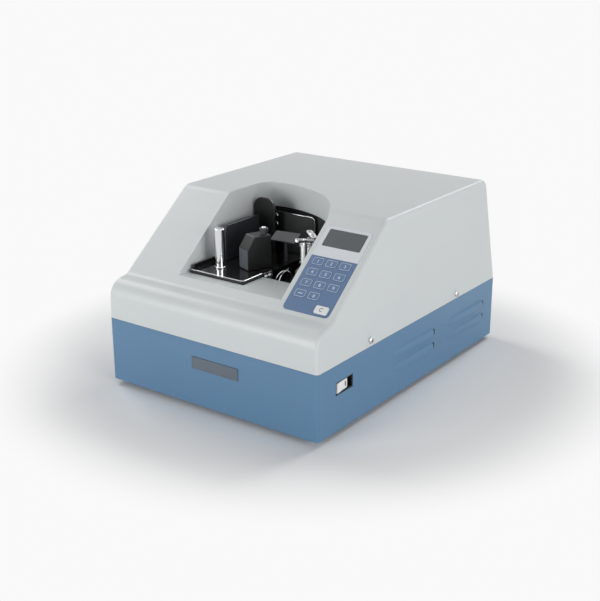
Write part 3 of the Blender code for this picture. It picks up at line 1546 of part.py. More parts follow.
def make_turret(axis):
    """The disc that carries the spindles, and the shaft that turns it."""
    _, gear_low, low = head_levels()
    high = low + TURRET_HEIGHT
    bore = SHAFT_RADIUS + GAP
    profile = [
        (bore, low - TURRET_HUB_DROP),
        (TURRET_HUB_RADIUS, low - TURRET_HUB_DROP),
        (TURRET_HUB_RADIUS, low),
        (TURRET_RADIUS, low),
        (TURRET_RADIUS, high - TURRET_EDGE),
        (TURRET_RADIUS - TURRET_EDGE, high),
        (bore, high),
    ]
    turret = piece("turret_disc", turned(profile), aluminium(), parent=axis, smooth=True)
    for index in range(SPINDLE_COUNT):
        angle = spindle_angle(index)
        place = (HEAD_RADIUS * cos(angle), HEAD_RADIUS * sin(angle), 0)
        drill = disc(SPINDLE_SHAFT_RADIUS + GAP, low - OVERRUN, high + OVERRUN)
        cut(turret, helper("spindle_hole", drill, place, parent=axis))
    foot = UNION_Z + UNION_FLOOR + GAP
    shaft_profile = [
        (0, foot),
        (SHAFT_RADIUS, foot),
        (SHAFT_RADIUS, high + GAP),
        (TURRET_CAP_RADIUS, high + GAP),
        (TURRET_CAP_RADIUS, high + GAP + TURRET_CAP_HEIGHT),
        (0, high + GAP + TURRET_CAP_HEIGHT),
    ]
    piece("head_shaft", turned(shaft_profile), steel(), parent=axis, smooth=True)


def make_spindles():
    """Four suction spindles: a planet wheel at the foot, a stem, a sleeve and a slanted nozzle plate."""
    _, gear_low, turret_low = head_levels()
    gear_high = gear_low + GEAR_HEIGHT - GAP
    stem_top = SPINDLE_SLEEVE_Z
    sleeve_top = stem_top + SPINDLE_SLEEVE_LENGTH
    neck_top = sleeve_top + SPINDLE_NECK_LENGTH + NOZZLE_THICK / 2
    profile = [
        (0, gear_low + GAP),
        (SPINDLE_COLLAR_RADIUS, gear_low + GAP),
        (SPINDLE_COLLAR_RADIUS, turret_low - RUNNING_GAP),
        (SPINDLE_SHAFT_RADIUS, turret_low - RUNNING_GAP),
        (SPINDLE_SHAFT_RADIUS, stem_top),
        (SPINDLE_SLEEVE_RADIUS, stem_top),
        (SPINDLE_SLEEVE_RADIUS, sleeve_top),
        (SPINDLE_NECK_RADIUS, sleeve_top),
        (SPINDLE_NECK_RADIUS, neck_top),
        (0, neck_top),
    ]
    half_pitch = pi / GEAR_TEETH
    for index in range(SPINDLE_COUNT):
        angle = spindle_angle(index)
        place = (HEAD_X + HEAD_RADIUS * cos(angle), HEAD_Y + HEAD_RADIUS * sin(angle), 0)
        axis = empty(f"spindle_axis_{index + 1}", place)
        shape = turned(profile, SMALL_SIDES)
        spindle = piece(f"spindle_{index + 1}", shape, chrome(), parent=axis, smooth=True)
        # The sun has a tooth on HEAD_START; where a planet meets it, the two phases mirror each other
        sun_phase = (angle - HEAD_START) % (2 * half_pitch)
        planet = prism_z(gear_outline(angle + pi + half_pitch + sun_phase), gear_low, gear_high)
        fuse(spindle, helper(f"planet_wheel_{index + 1}", planet, parent=axis))
        make_nozzle(index, spindle, axis, sleeve_top + SPINDLE_NECK_LENGTH + NOZZLE_THICK / 2)


def make_nozzle(index, spindle, axis, height):
    """An oblong plate with round ends, tilted on the neck."""
    half = NOZZLE_LENGTH / 2
    width = NOZZLE_WIDTH / 2
    outline = rounded(rectangle(-half, half, -width, width, width * NOZZLE_ROUND_SHARE))
    plate = prism_z(outline, -NOZZLE_THICK / 2, NOZZLE_THICK / 2)
    turn = NOZZLE_TURN + 2 * pi * index / SPINDLE_COUNT
    fuse(spindle, helper(f"nozzle_{index + 1}", plate, (0, 0, height), axis, (0, NOZZLE_TILT, turn)))


def pulley_profile(radius, bore):
    """A flanged belt pulley about Z."""
    seat_low = PULLEY_Z + PULLEY_FLANGE
    seat_high = seat_low + PULLEY_SEAT
    top = seat_high + PULLEY_FLANGE
    reach = radius + PULLEY_FLANGE_REACH
    rim = [(reach, PULLEY_Z), (reach, seat_low), (radius, seat_low)]
    rim += [(radius, seat_high), (reach, seat_high), (reach, top)]
    return [(bore, PULLEY_Z), *rim, (bore, top)]


def belt_outline(grow):
    """A closed loop round the two pulleys, in X and Y about the head's axis."""
    span = MOTOR_Y - HEAD_Y
    big, small = HEAD_PULLEY_RADIUS + grow, MOTOR_PULLEY_RADIUS + grow
    lean = asin((big - small) / span)
    points = []
    for step in range(BAY_ARC_STEPS + 1):
        angle = pi - lean + (pi + 2 * lean) * step / BAY_ARC_STEPS
        points.append((big * cos(angle), big * sin(angle)))
    for step in range(BAY_ARC_STEPS + 1):
        angle = lean + (pi - 2 * lean) * step / BAY_ARC_STEPS
        points.append((small * cos(angle), span + small * sin(angle)))
    return points


def make_drive(axis):
    head_pulley = turned(pulley_profile(HEAD_PULLEY_RADIUS, SHAFT_RADIUS + GAP))
    piece("head_pulley", head_pulley, aluminium(), parent=axis, smooth=True)
    motor_axis = empty("motor_axis", (HEAD_X, MOTOR_Y, 0))
    motor_top = MOTOR_TOP_Z + MOTOR_BOSS_HEIGHT
    bore = pulley_profile(MOTOR_PULLEY_RADIUS, MOTOR_SHAFT_RADIUS)
    shaft_foot = motor_top - MOTOR_SHAFT_DEPTH
    pulley = [(0, shaft_foot), (MOTOR_SHAFT_RADIUS, shaft_foot), *bore, (0, bore[-1][1])]
    piece("motor_pulley", turned(pulley), steel(), parent=motor_axis, smooth=True)
    low = PULLEY_Z + PULLEY_FLANGE + GAP
    high = low + PULLEY_SEAT - 2 * GAP
    band = prism_z(belt_outline(GAP + BELT_THICK), low, high)
    belt = piece("drive_belt", band, rubber(), (HEAD_X, HEAD_Y, 0))
    inside = prism_z(belt_outline(GAP), low - OVERRUN, high + OVERRUN)
    cut(belt, helper("belt_inside", inside, (HEAD_X, HEAD_Y, 0)))
    low = FLOOR_TOP + GAP
    bore_radius = MOTOR_SHAFT_RADIUS + GAP
    motor_profile = [
        (0, low),
        (MOTOR_FLANGE_RADIUS, low),
        (MOTOR_FLANGE_RADIUS, low + MOTOR_FLANGE_HEIGHT),
        (MOTOR_RADIUS, low + MOTOR_FLANGE_HEIGHT),
        (MOTOR_RADIUS, MOTOR_TOP_Z),
        (MOTOR_BOSS_RADIUS, MOTOR_TOP_Z),
        (MOTOR_BOSS_RADIUS, motor_top),
        (bore_radius, motor_top),
        (bore_radius, shaft_foot - GAP),
        (0, shaft_foot - GAP),
    ]
    piece("drive_motor", turned(motor_profile), steel(), (HEAD_X, MOTOR_Y, 0), smooth=True)


def make_vacuum():
    """The rotary union under the head's shaft, the pump with its motor, and the hose between them."""
    bore = SHAFT_RADIUS + GAP
    profile = [
        (0, UNION_Z),
        (UNION_RADIUS, UNION_Z),
        (UNION_RADIUS, UNION_Z + UNION_HEIGHT),
        (bore, UNION_Z + UNION_HEIGHT),
        (bore, UNION_Z + UNION_FLOOR),
        (0, UNION_Z + UNION_FLOOR),
    ]
    union = piece("rotary_union", turned(profile), black_plastic(), (HEAD_X, HEAD_Y, 0), smooth=True)
    nipple_z = UNION_Z + UNION_FLOOR / 2
    nipple_end = UNION_RADIUS + NIPPLE_LENGTH
    nipple = disc(NIPPLE_RADIUS * UNION_NIPPLE_SHARE, UNION_RADIUS / 2, nipple_end)
    fuse(union, helper("union_nipple", nipple, (HEAD_X, HEAD_Y, nipple_z), rotation=(0, -pi / 2, 0)))
    low = FLOOR_TOP + GAP
    pump = piece(
        "vacuum_pump",
        block(PUMP_WIDTH, PUMP_DEPTH, low, low + PUMP_HEIGHT, PUMP_HEAD_HEIGHT / 4),
        aluminium(),
        (PUMP_X, PUMP_Y, 0),
    )
    head_top = low + PUMP_HEIGHT + PUMP_HEAD_HEIGHT
    head = disc(PUMP_HEAD_RADIUS, low + PUMP_HEIGHT / 2, head_top, ROUND_SIDES)
    fuse(pump, helper("pump_head", head, (PUMP_X, PUMP_Y, 0)))
    port = disc(NIPPLE_RADIUS, head_top - NIPPLE_LENGTH, head_top + NIPPLE_LENGTH)
    fuse(pump, helper("pump_port", port, (PUMP_X, PUMP_Y, 0)))
    motor_z = low + PUMP_MOTOR_RADIUS + FRAME_SHEET
    start = PUMP_Y + PUMP_DEPTH / 2
    motor = disc(PUMP_MOTOR_RADIUS, -PUMP_MOTOR_LENGTH, FRAME_SHEET, ROUND_SIDES)
    fuse(pump, helper("pump_motor", motor, (PUMP_X, start, motor_z), rotation=(pi / 2, 0, 0)))
    half = PUMP_MOTOR_FOOT_WIDTH / 2
    foot = rounded(rectangle(-half, half, start + half, start + PUMP_MOTOR_LENGTH - half))
    fuse(pump, helper("pump_motor_foot", prism_z(foot, low, motor_z), (PUMP_X, 0, 0)))
    make_hose(Vector((PUMP_X, PUMP_Y, head_top + NIPPLE_LENGTH + GAP)), nipple_end, nipple_z)


def make_hose(start, nipple_end, nipple_z):
    """From the top of the pump, over and down to the side of the union."""
    end = Vector((HEAD_X - nipple_end - GAP, HEAD_Y, nipple_z))
    rise = Vector((0, 0, NIPPLE_LENGTH))
    run = Vector((NIPPLE_LENGTH, 0, 0))
    across = end - start
    middle = Vector((across.x * HOSE_MIDDLE_SHARE, across.y / 2, 0))
    knots = [
        start,
        *[start + rise * up + run * along for up, along in HOSE_START_SHARES],
        start + middle + rise * HOSE_RISE_SHARE,
        *[end + rise * up - run * along for up, along in HOSE_END_SHARES],
        end,
    ]
    tube("vacuum_hose", smooth_route(knots, HOSE_POINTS), HOSE_RADIUS, rubber(), 2)


def board_corners():
    reach_x = MAIN_BOARD_WIDTH / 2 - STANDOFF_INSET
    reach_y = MAIN_BOARD_DEPTH / 2 - STANDOFF_INSET
    return [(x * reach_x, y * reach_y) for x in (-1, 1) for y in (-1, 1)]


def make_electronics():
    board_low = FLOOR_TOP + STANDOFF_HEIGHT + GAP
    board_top = board_low + BOARD_THICK
    place = (MAIN_BOARD_X, MAIN_BOARD_Y, 0)
    sheet = block(MAIN_BOARD_WIDTH, MAIN_BOARD_DEPTH, board_low, board_top)
    board = piece("main_board", sheet, board_green(), place)
    inside = board_top - BOARD_THICK / 2
    right, back = MAIN_BOARD_WIDTH / 2, MAIN_BOARD_DEPTH / 2
    high = board_top + CONNECTOR_HEIGHT
    front_socket = block(CONNECTOR_WIDTH, CONNECTOR_DEPTH, inside, high)
    rear_socket = block(CONNECTOR_WIDTH, CONNECTOR_DEPTH, inside, high)
    parts = [
        (block(HEATSINK_WIDTH, HEATSINK_DEPTH, inside, board_top + HEATSINK_HEIGHT), (right / 2, back / 2)),
        (disc(CAPACITOR_RADIUS, inside, board_top + CAPACITOR_HEIGHT), (-right / 2, back / 2)),
        (disc(CAPACITOR_RADIUS, inside, board_top + CAPACITOR_HEIGHT), (-right / 2, -back / 4)),
        (front_socket, (right / 2, -back * CONNECTOR_FRONT_SHARE)),
        (rear_socket, (0, back * CONNECTOR_REAR_SHARE)),
        (block(CHIP_SIDE, CHIP_SIDE, inside, board_top + CHIP_HEIGHT), (0, -back / 4)),
    ]
    for part, (x, y) in parts:
        fuse(board, helper("board_part", part, (MAIN_BOARD_X + x, MAIN_BOARD_Y + y, 0)))
    make_transformer()


def make_transformer():
    """A laminated core with its winding, on a mounting strap."""
    low = FLOOR_TOP + GAP
    place = (TRANSFORMER_X, TRANSFORMER_Y, 0)
    core = piece(
        "mains_transformer",
        block(TRANSFORMER_WIDTH, TRANSFORMER_DEPTH / 2, low, low + TRANSFORMER_HEIGHT),
        steel(),
        place,
    )
    lift = (TRANSFORMER_HEIGHT - WINDING_HEIGHT) / 2
    winding = block(WINDING_WIDTH, WINDING_DEPTH, low + lift, low + lift + WINDING_HEIGHT, lift)
    fuse(core, helper("winding", winding, place))
    strap_width = TRANSFORMER_WIDTH + 2 * TRANSFORMER_FOOT
    strap = block(strap_width, TRANSFORMER_DEPTH / 3, low, low + TRANSFORMER_FOOT_THICK)
    fuse(core, helper("strap", strap, place))


def make_console(console):
    """The label, the display window, the keys and the board under them."""
    low = -LABEL_RECESS + GAP
    middle = LABEL_START + LABEL_LENGTH / 2
    outline = rounded(
        rectangle(
            -LABEL_WIDTH / 2,
            LABEL_WIDTH / 2,
            middle - LABEL_LENGTH / 2,
            middle + LABEL_LENGTH / 2,
            LABEL_CORNER,
        )
    )
    label = piece("label_overlay", prism_z(outline, low, low + LABEL_THICK), label_film(), parent=console)
    holes = []
    for _, x, up in key_places():
        hole = block(KEY_WIDTH + 2 * GAP, KEY_LENGTH + 2 * GAP, -OVERRUN, OVERRUN, KEY_CORNER + GAP)
        holes.append((hole, (x, up, 0)))
    clear_x = KEY_COLUMN_PITCH + CLEAR_X_OFFSET
    clear = block(CLEAR_WIDTH + 2 * GAP, CLEAR_LENGTH + 2 * GAP, -OVERRUN, OVERRUN, KEY_CORNER + GAP)
    holes.append((clear, (clear_x, CLEAR_UP, 0)))
    window = block(WINDOW_WIDTH + 2 * GAP, WINDOW_LENGTH + 2 * GAP, -OVERRUN, OVERRUN, WINDOW_CORNER + GAP)
    holes.append((window, (0, WINDOW_CENTRE, 0)))
    cut(label, helper("label_holes", merged(*holes), parent=console))
    glass = block(WINDOW_WIDTH, WINDOW_LENGTH, low, low + LABEL_THICK, WINDOW_CORNER)
    piece("display_window", glass, smoked_window(), (0, WINDOW_CENTRE, 0), console)
    for name, x, up in key_places():
        make_key(name, KEY_WIDTH, KEY_LENGTH, KEY_PROUD, key_film(), (x, up, 0), console)
    place = (clear_x, CLEAR_UP, 0)
    make_key("key_clear", CLEAR_WIDTH, CLEAR_LENGTH, CLEAR_PROUD, white_plastic(), place, console)
    make_control_board(console)


def make_key(name, width, length, proud, finish, place, console):
    """A key cap on a wider flange that the label holds in, and a stem that ends above the control board."""
    flange_top = -LABEL_RECESS
    flange_low = flange_top - KEY_FLANGE_THICK
    stem_low = -CONTROL_BOARD_DEPTH + KEY_TRAVEL + GAP
    top = -LABEL_RECESS + GAP + LABEL_THICK + proud

    def ring(across, along, radius, z):
        corners = rectangle(-across / 2, across / 2, -along / 2, along / 2, radius)
        return [(x, y, z) for x, y in rounded(corners)]

    wide, long = width + 2 * KEY_FLANGE_REACH, length + 2 * KEY_FLANGE_REACH
    sections = [
        ring(KEY_STEM_WIDTH, KEY_STEM_LENGTH, KEY_CORNER / 2, stem_low),
        ring(KEY_STEM_WIDTH, KEY_STEM_LENGTH, KEY_CORNER / 2, flange_low),
        ring(wide, long, KEY_CORNER / 2, flange_low),
        ring(wide, long, KEY_CORNER / 2, flange_top),
        ring(width, length, KEY_CORNER, flange_top),
        ring(width, length, KEY_CORNER, top),
    ]
    piece(name, loft(sections), finish, place, console)


def make_control_board(console):
    """One board under the keys and the window, with the display module on it."""
    top = -CONTROL_BOARD_DEPTH
    centre = CONTROL_BOARD_START + CONTROL_BOARD_LENGTH / 2
    sheet = block(board_width(), CONTROL_BOARD_LENGTH, top - BOARD_THICK, top)
    board = piece("control_board", sheet, board_green(), (board_shift(), centre, 0), console)
    module = block(DISPLAY_MODULE_WIDTH, DISPLAY_MODULE_LENGTH, top - BOARD_THICK / 2, -COVER_WALL - GAP)
    fuse(board, helper("display_module", module, (0, WINDOW_CENTRE, 0), console))


def main():
    clear_scene()
    console = console_frame()
    make_cover(console)
    make_cover_screws()
    make_base()
    make_feet()
    make_nameplate()
    make_switch()
    make_inlet()
    make_frame()
    make_tray()
    make_guide_post()
    make_guide_plate()
    make_press_block()
    make_back_of_bay()
    make_bay_details()
    make_bearing_housing()
    head_axis = empty("head_axis", (HEAD_X, HEAD_Y, 0))
    make_turret(head_axis)
    make_spindles()
    make_drive(head_axis)
    make_vacuum()
    make_electronics()
    make_console(console)


main()
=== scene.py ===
"""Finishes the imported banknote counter: paint, plastic, chrome, printed keys, screws and a studio stage."""

import json
from math import atan2, cos, pi, radians, sin

import bmesh
import bpy
from mathutils import Matrix, Vector

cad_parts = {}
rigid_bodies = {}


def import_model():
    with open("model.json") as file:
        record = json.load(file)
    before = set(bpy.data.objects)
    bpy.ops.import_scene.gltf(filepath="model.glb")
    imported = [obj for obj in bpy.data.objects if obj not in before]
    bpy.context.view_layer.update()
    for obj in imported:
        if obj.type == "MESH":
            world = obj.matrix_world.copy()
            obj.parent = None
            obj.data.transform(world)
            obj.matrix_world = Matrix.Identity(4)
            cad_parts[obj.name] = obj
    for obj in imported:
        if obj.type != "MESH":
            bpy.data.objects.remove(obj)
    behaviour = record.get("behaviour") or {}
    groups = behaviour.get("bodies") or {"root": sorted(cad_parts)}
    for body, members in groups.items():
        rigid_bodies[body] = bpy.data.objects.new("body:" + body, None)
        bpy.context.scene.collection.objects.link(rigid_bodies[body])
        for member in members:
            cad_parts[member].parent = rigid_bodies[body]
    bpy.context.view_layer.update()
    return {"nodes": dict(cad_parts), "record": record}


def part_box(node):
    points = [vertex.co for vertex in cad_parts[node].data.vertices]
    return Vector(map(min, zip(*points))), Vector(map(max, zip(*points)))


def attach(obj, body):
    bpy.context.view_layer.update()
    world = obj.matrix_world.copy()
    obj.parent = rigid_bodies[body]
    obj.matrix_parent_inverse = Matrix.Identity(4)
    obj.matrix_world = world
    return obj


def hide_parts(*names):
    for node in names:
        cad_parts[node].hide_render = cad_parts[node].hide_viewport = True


bl_info = {
    "name": "Banknote Counter",
    "version": (1, 0, 0),
    "blender": (4, 5, 0),
    "location": "View3D > Sidebar > Counter",
    "description": "Builds the finished surfaces and small parts of a desktop banknote counter",
    "category": "Object",
}

for leftover in list(bpy.data.objects):
    bpy.data.objects.remove(leftover)
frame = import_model()
NODES = frame["nodes"]
BODY = {node: body for body, nodes in frame["record"]["behaviour"]["bodies"].items() for node in nodes}
SLOT = {part["node"]: part["material_slot"] for part in frame["record"]["subparts"]}

# The console's own frame: X across, Y up the slope, Z out of it
CONSOLE_ORIGIN = Vector((0.107, -0.166, 0.1275))
CONSOLE_ANGLE = atan2(0.0853, 0.1047)
CONSOLE = Matrix.Translation(CONSOLE_ORIGIN) @ Matrix.Rotation(CONSOLE_ANGLE, 4, "X")
KEY_TOP = 0.0005
CLEAR_KEY_TOP = 0.0014
CLEAR_KEY_PLACE = (0.0175, 0.0125)
CLEAR_LETTER_HEIGHT = 0.0046
KEY_COLUMN_PITCH = 0.0172
KEY_ROW_PITCH = 0.0139
KEY_BOTTOM_ROW = 0.0267
KEY_FIELD_TOP = 0.0752
KEY_OUTLINE = (0.0127, 0.0082, 0.0016)
MODE_MARK = (0.0058, 0.0009, 0.0004)
PRINT_LIFT = 0.00003

# The note bay from above: its half width, its rear arc and its corner, with the slack of a point on the wall
BAY_ARC = (Vector((-0.043, -0.114)), 0.123)
BAY_CORNER = 0.022
BAY_CORNER_Y = -0.01324
BAY_HALF = 0.072
BAY_REAR = 0.02
BAY_LEDGE = 0.1365
ON_WALL = 0.0004

# Angles above which an edge stays sharp, and the rounding of the finest edges
SHARP = 40
SHARP_ROUND = 35
SHARP_SOFT = 50
FINE_EDGE = 0.0002
SMALL_EDGE = 0.0003
SOFT_EDGE = 0.0005

# Small screws as radius and height, with their places
COVER_SCREW_SHANK = 0.006
PLATE_SCREW = (0.0027, 0.0015)
PLATE_SHEET = 0.0015
PLATE_SCREW_X = -0.046
PLATE_SCREW_HEIGHTS = (0.1765, 0.166)
DECK_SCREW = (0.0028, 0.0016)
DECK_SCREW_PLACES = (
    (0.03, -0.089),
    (0.0725, -0.089),
    (0.03, -0.028),
    (0.018, -0.02),
    (0.085, -0.03),
    (-0.03, 0.03),
)

# Painted shade at the louvre mouths: thin dark patches standing for the shaded openings behind the hoods.
# Width, length, thickness and corner, then where each row ends
LOUVRE_SHADE = (0.0098, 0.0078, 0.00005, 0.0038)
LOUVRE_SHADE_X = 0.146
LOUVRE_SHADE_SHIFT = 0.0034
LOUVRE_ENDS = (0.037, 0.1595)
LOUVRE_HEIGHTS = (0.054, 0.037)

# Power parts
ROCKER_AXIS = Vector((0.143, -0.1472, 0.0545))
ROCKER_TURN = radians(6)
ROCKER_MARK = (0.0018, 0.0052, 0.0002, 0.0008)
ROCKER_MARK_PLACE = (0.00245, 0.0052, 0)
INLET_BLADE = (0.0023, 0.0043, 0.0118, 0.0003)
INLET_FACE = Vector((0.085, 0.1775, 0.04))
INLET_BLADE_PLACES = ((-0.007, -0.002), (0, 0.002), (0.007, -0.002))

# Bright rods in the note bay: a chrome rod laid on the back plate as a painted highlight of its edge, as steps
# in from its top right corner, and two bent rods as X, Y and the rise over the deck
PLATE_EDGE_DEPTH = 0.0017
PLATE_EDGE_START = ((-0.022, 0.0003), (-0.004, 0.0003))
PLATE_EDGE_STEPS = ((0.0055, 0.0003), (0.0018, 0.0018), (0.0003, 0.0055), (0.0003, 0.012), (0.0003, 0.022))
PLATE_EDGE_RADIUS = 0.00035
LINK_ROD = (
    (0.0125, -0.088, -0.0004),
    (0.0135, -0.0845, 0.011),
    (0.0172, -0.077, 0.0155),
    (0.0212, -0.0705, 0.0125),
    (0.0214, -0.068, -0.0004),
)
LINK_ROD_RADIUS = 0.0009
SENSOR_ARM = (
    (0.031, -0.1012, -0.0004),
    (0.0315, -0.1008, 0.007),
    (0.037, -0.0995, 0.0105),
    (0.0455, -0.0985, 0.0098),
    (0.047, -0.0983, -0.0004),
)
SENSOR_ARM_RADIUS = 0.0008
SENSOR_BLOCK = (0.013, 0.007, 0.006, 0.001)
SENSOR_PLACE = (0.0388, -0.0925)

# Press block
PRESS_AXIS = Vector((-0.0074, -0.0818, 0))
PRESS_TURN = radians(-22.3)
PRESS_EDGE = 0.0006
PRESS_FACE = (0.0186, 0.0225, 0.0004, 0.0008)
PRESS_FACE_PLACE = (-0.0038, -0.0243, 0.1388 + 0.0122)
KNOB_BORE = 0.0028
KNOB_WAIST = 0.0036
KNOB_RADIUS = 0.005
KNURL = (0.0028, 0.0006, 0.0003, 0.0002)

# Turning head and its spindles
HEAD_AXIS = Vector((0.051, -0.058, 0))
MOTOR_AXIS = (0.051, 0.025)
PUMP_AXIS = (-0.074, -0.03)
SPINDLES = 4
SPINDLE_ORBIT = 0.017
SPINDLE_START = -118
NOZZLE_START = 52
NOZZLE_TILT = radians(7)
NOZZLE_HEIGHT = 0.1495 + 0.0225 + 0.0025 + 0.0013
NOZZLE_TOP = 0.0013
# Painted shade: thin near-black discs on each nozzle stand for the shade inside its suction holes; their
# places across the nozzle, then the disc's profile
SUCTION_SHADES = (-0.0085, -0.0058, 0.0058, 0.0085)
SUCTION_SHADE = [(0, 0), (0.0009, 0), (0.0009, 0.00005), (0, 0.00005)]
COLLAR_HEIGHTS = (0.1512, 0.1698)
COLLAR = [(0.0054, 0), (0.00585, 0.0001), (0.00585, 0.0009), (0.0054, 0.001)]
CAP_SCREW = [(0, 0), (0.0022, 0), (0.0022, 0.0007), (0.0016, 0.0011), (0, 0.0011)]

# Stage: each lamp's name, place, size and power, then the floor's fade and the camera
BACKGROUND = "#F9F9F9"
FILL = 0.22
LAMPS = (
    ("key_right", (2.1, -0.6, 0.4), 1.2, 27),
    ("fill_front", (-0.9, -2.1, 0.42), 1.1, 26),
    ("back", (0.3, 1.9, 1.7), 0.9, 21),
    ("left", (-1.9, 0.3, 1.6), 0.9, 18),
)
LAMP_AIM = Vector((0, 0, 0.1))
FLOOR_HALF = 4
FLOOR_DROP = 0.0002
FADE = (0.26, 0.4)
CAMERA_PLACE = (0.736, -1.029, 0.526)
CAMERA_ANGLES = (36.2, 19.6, -0.25)
CAMERA_SENSOR = 36
CAMERA_LENS = 36 * 1111 / 601


def linear(hex_colour):
    """An sRGB hex colour as the linear RGBA that a shader takes."""
    channels = [int(hex_colour[i : i + 2], 16) / 255 for i in (1, 3, 5)]
    return tuple(c / 12.92 if c <= 0.04045 else ((c + 0.055) / 1.055) ** 2.4 for c in channels) + (1.0,)


def colour_prop(name, description, hex_colour):
    return bpy.props.FloatVectorProperty(
        name=name,
        description=description,
        subtype="COLOR",
        size=4,
        min=0,
        max=1,
        default=linear(hex_colour),
    )


def length_prop(name, description, metres):
    return bpy.props.FloatProperty(
        name=name,
        description=description,
        subtype="DISTANCE",
        unit="LENGTH",
        min=0,
        precision=5,
        default=metres,
    )


class CounterColours(bpy.types.PropertyGroup):
    """The colours of the paints, plastics and inks."""

    cover: colour_prop("Cover", "Light grey paint of the cover", "#CBD0D1")
    base: colour_prop("Base", "Blue paint of the base", "#557D9F")
    label: colour_prop("Label", "Light part of the console label", "#D5DADF")
    label_blue: colour_prop("Key field", "Blue field behind the keys", "#557196")
    window: colour_prop("Window", "Smoked window over the display", "#4B5054")
    ink: colour_prop("Ink", "Digits and key outlines", "#CFDBE9")
    clear_ink: colour_prop("Clear key ink", "Letter on the clear key", "#4A5F7E")
    black: colour_prop("Black", "Black plastic and sheet inside the bay", "#141516")
    plate: colour_prop("Plate", "Dark grey plate on the front", "#5C6670")


class CounterSizes(bpy.types.PropertyGroup):
    """Sizes of the small parts and of the edges."""

    bay_rim: length_prop("Bay rim", "Radius that softens the rim of the note bay", 0.0009)
    edge: length_prop("Edge", "Radius on the edges of small plastic parts", 0.00035)
    screw_radius: length_prop("Screw radius", "Radius of a pan screw head", 0.004)
    screw_height: length_prop("Screw height", "Height of a pan screw head", 0.0024)
    outline: length_prop("Outline", "Width of the printed line round a key", 0.00042)
    digit: length_prop("Digit", "Height of a printed digit", 0.0037)
    knurls: bpy.props.IntProperty(
        name="Knurls",
        description="Ridges round the press knob",
        default=22,
        min=6,
        max=60,
    )


def add(tree, kind, links=None, **settings):
    """Adds a node, with its settings, and its inputs as values or as sockets to link."""
    node = tree.nodes.new(kind)
    for name, value in settings.items():
        setattr(node, name, value)
    for name, value in (links or {}).items():
        socket = node.inputs[name]
        if isinstance(value, bpy.types.NodeSocket):
            tree.links.new(value, socket)
        else:
            socket.default_value = value
    return node


def blank_material(name, roughness, metallic=0.0, **sockets):
    """A new Principled material, with the object's own coordinates."""
    made = bpy.data.materials.new(name)
    made.use_nodes = True
    tree = made.node_tree
    shader = tree.nodes["Principled BSDF"]
    shader.inputs["Roughness"].default_value = roughness
    shader.inputs["Metallic"].default_value = metallic
    for key, value in sockets.items():
        shader.inputs[key.replace("_", " ").title()].default_value = value
    place = add(tree, "ShaderNodeTexCoord").outputs["Object"]
    return made, tree, shader, place


def shaded(tree, shader, colour, factor, darken, lighten):
    """Lets a pattern move the base colour a little either side of the paint's own."""
    ramp = add(tree, "ShaderNodeMapRange", {"Value": factor, "To Min": 1 - darken, "To Max": 1 + lighten})
    tint = add(tree, "ShaderNodeHueSaturation", {"Value": ramp.outputs[0]})
    if isinstance(colour, bpy.types.NodeSocket):
        tree.links.new(colour, tint.inputs["Color"])
    else:
        tint.inputs["Color"].default_value = colour
    tree.links.new(tint.outputs[0], shader.inputs["Base Color"])


def rough_range(tree, shader, factor, low, high):
    spread = add(tree, "ShaderNodeMapRange", {"Value": factor, "To Min": low, "To Max": high})
    tree.links.new(spread.outputs[0], shader.inputs["Roughness"])


def relief(tree, shader, height, depth, strength=1.0, below=None):
    links = {"Height": height, "Distance": depth, "Strength": strength}
    if below is not None:
        links["Normal"] = below
    bump = add(tree, "ShaderNodeBump", links)
    tree.links.new(bump.outputs[0], shader.inputs["Normal"])
    return bump.outputs[0]


def stove_paint(name, colour, orange_peel=0.5):
    """Stoved satin paint on sheet steel. Orange peel about 1.5 mm across breaks up the highlights, a finer
    0.4 mm grain dulls them, and slow drifts over a hand's width keep the large panels from looking flat."""
    made, tree, shader, place = blank_material(name, 0.42, coat_weight=0.12, coat_roughness=0.3)
    drift = add(tree, "ShaderNodeTexNoise", {"Vector": place, "Scale": 11, "Detail": 2})
    peel = add(tree, "ShaderNodeTexNoise", {"Vector": place, "Scale": 650, "Detail": 1})
    grain = add(tree, "ShaderNodeTexNoise", {"Vector": place, "Scale": 2400, "Detail": 1})
    speck = add(tree, "ShaderNodeMix", {0: 0.35, 2: drift.outputs[0], 3: grain.outputs[0]})
    shaded(tree, shader, colour, speck.outputs[0], 0.05, 0.05)
    rough_range(tree, shader, drift.outputs[0], 0.36, 0.5)
    fine = relief(tree, shader, grain.outputs[0], 0.00002, 0.4)
    relief(tree, shader, peel.outputs[0], 0.00005, orange_peel, fine)
    return made


def moulded_abs(name, colour, roughness=0.42, grain=0.6):
    """Injection-moulded ABS with a spark-eroded grain about 0.5 mm across, which spreads its highlights."""
    made, tree, shader, place = blank_material(name, roughness)
    pits = add(tree, "ShaderNodeTexVoronoi", {"Vector": place, "Scale": 1900})
    cloud = add(tree, "ShaderNodeTexNoise", {"Vector": place, "Scale": 60, "Detail": 3})
    shaded(tree, shader, colour, cloud.outputs[0], 0.12, 0.12)
    rough_range(tree, shader, cloud.outputs[0], roughness - 0.06, roughness + 0.08)
    relief(tree, shader, pits.outputs["Distance"], 0.00004, grain)
    return made


def polished_chrome(name, tint="#D9DBDD"):
    """Bright chrome plate: a near mirror, with polishing hairlines that only cloud it a little."""
    made, tree, shader, place = blank_material(name, 0.08, 1.0)
    stretch = add(tree, "ShaderNodeMapping", {"Vector": place, "Scale": (1, 1, 0.05)})
    lines = add(tree, "ShaderNodeTexNoise", {"Vector": stretch.outputs[0], "Scale": 1800, "Detail": 2})
    shaded(tree, shader, linear(tint), lines.outputs[0], 0.03, 0.02)
    rough_range(tree, shader, lines.outputs[0], 0.05, 0.14)
    relief(tree, shader, lines.outputs[0], 0.000004, 0.3)
    return made


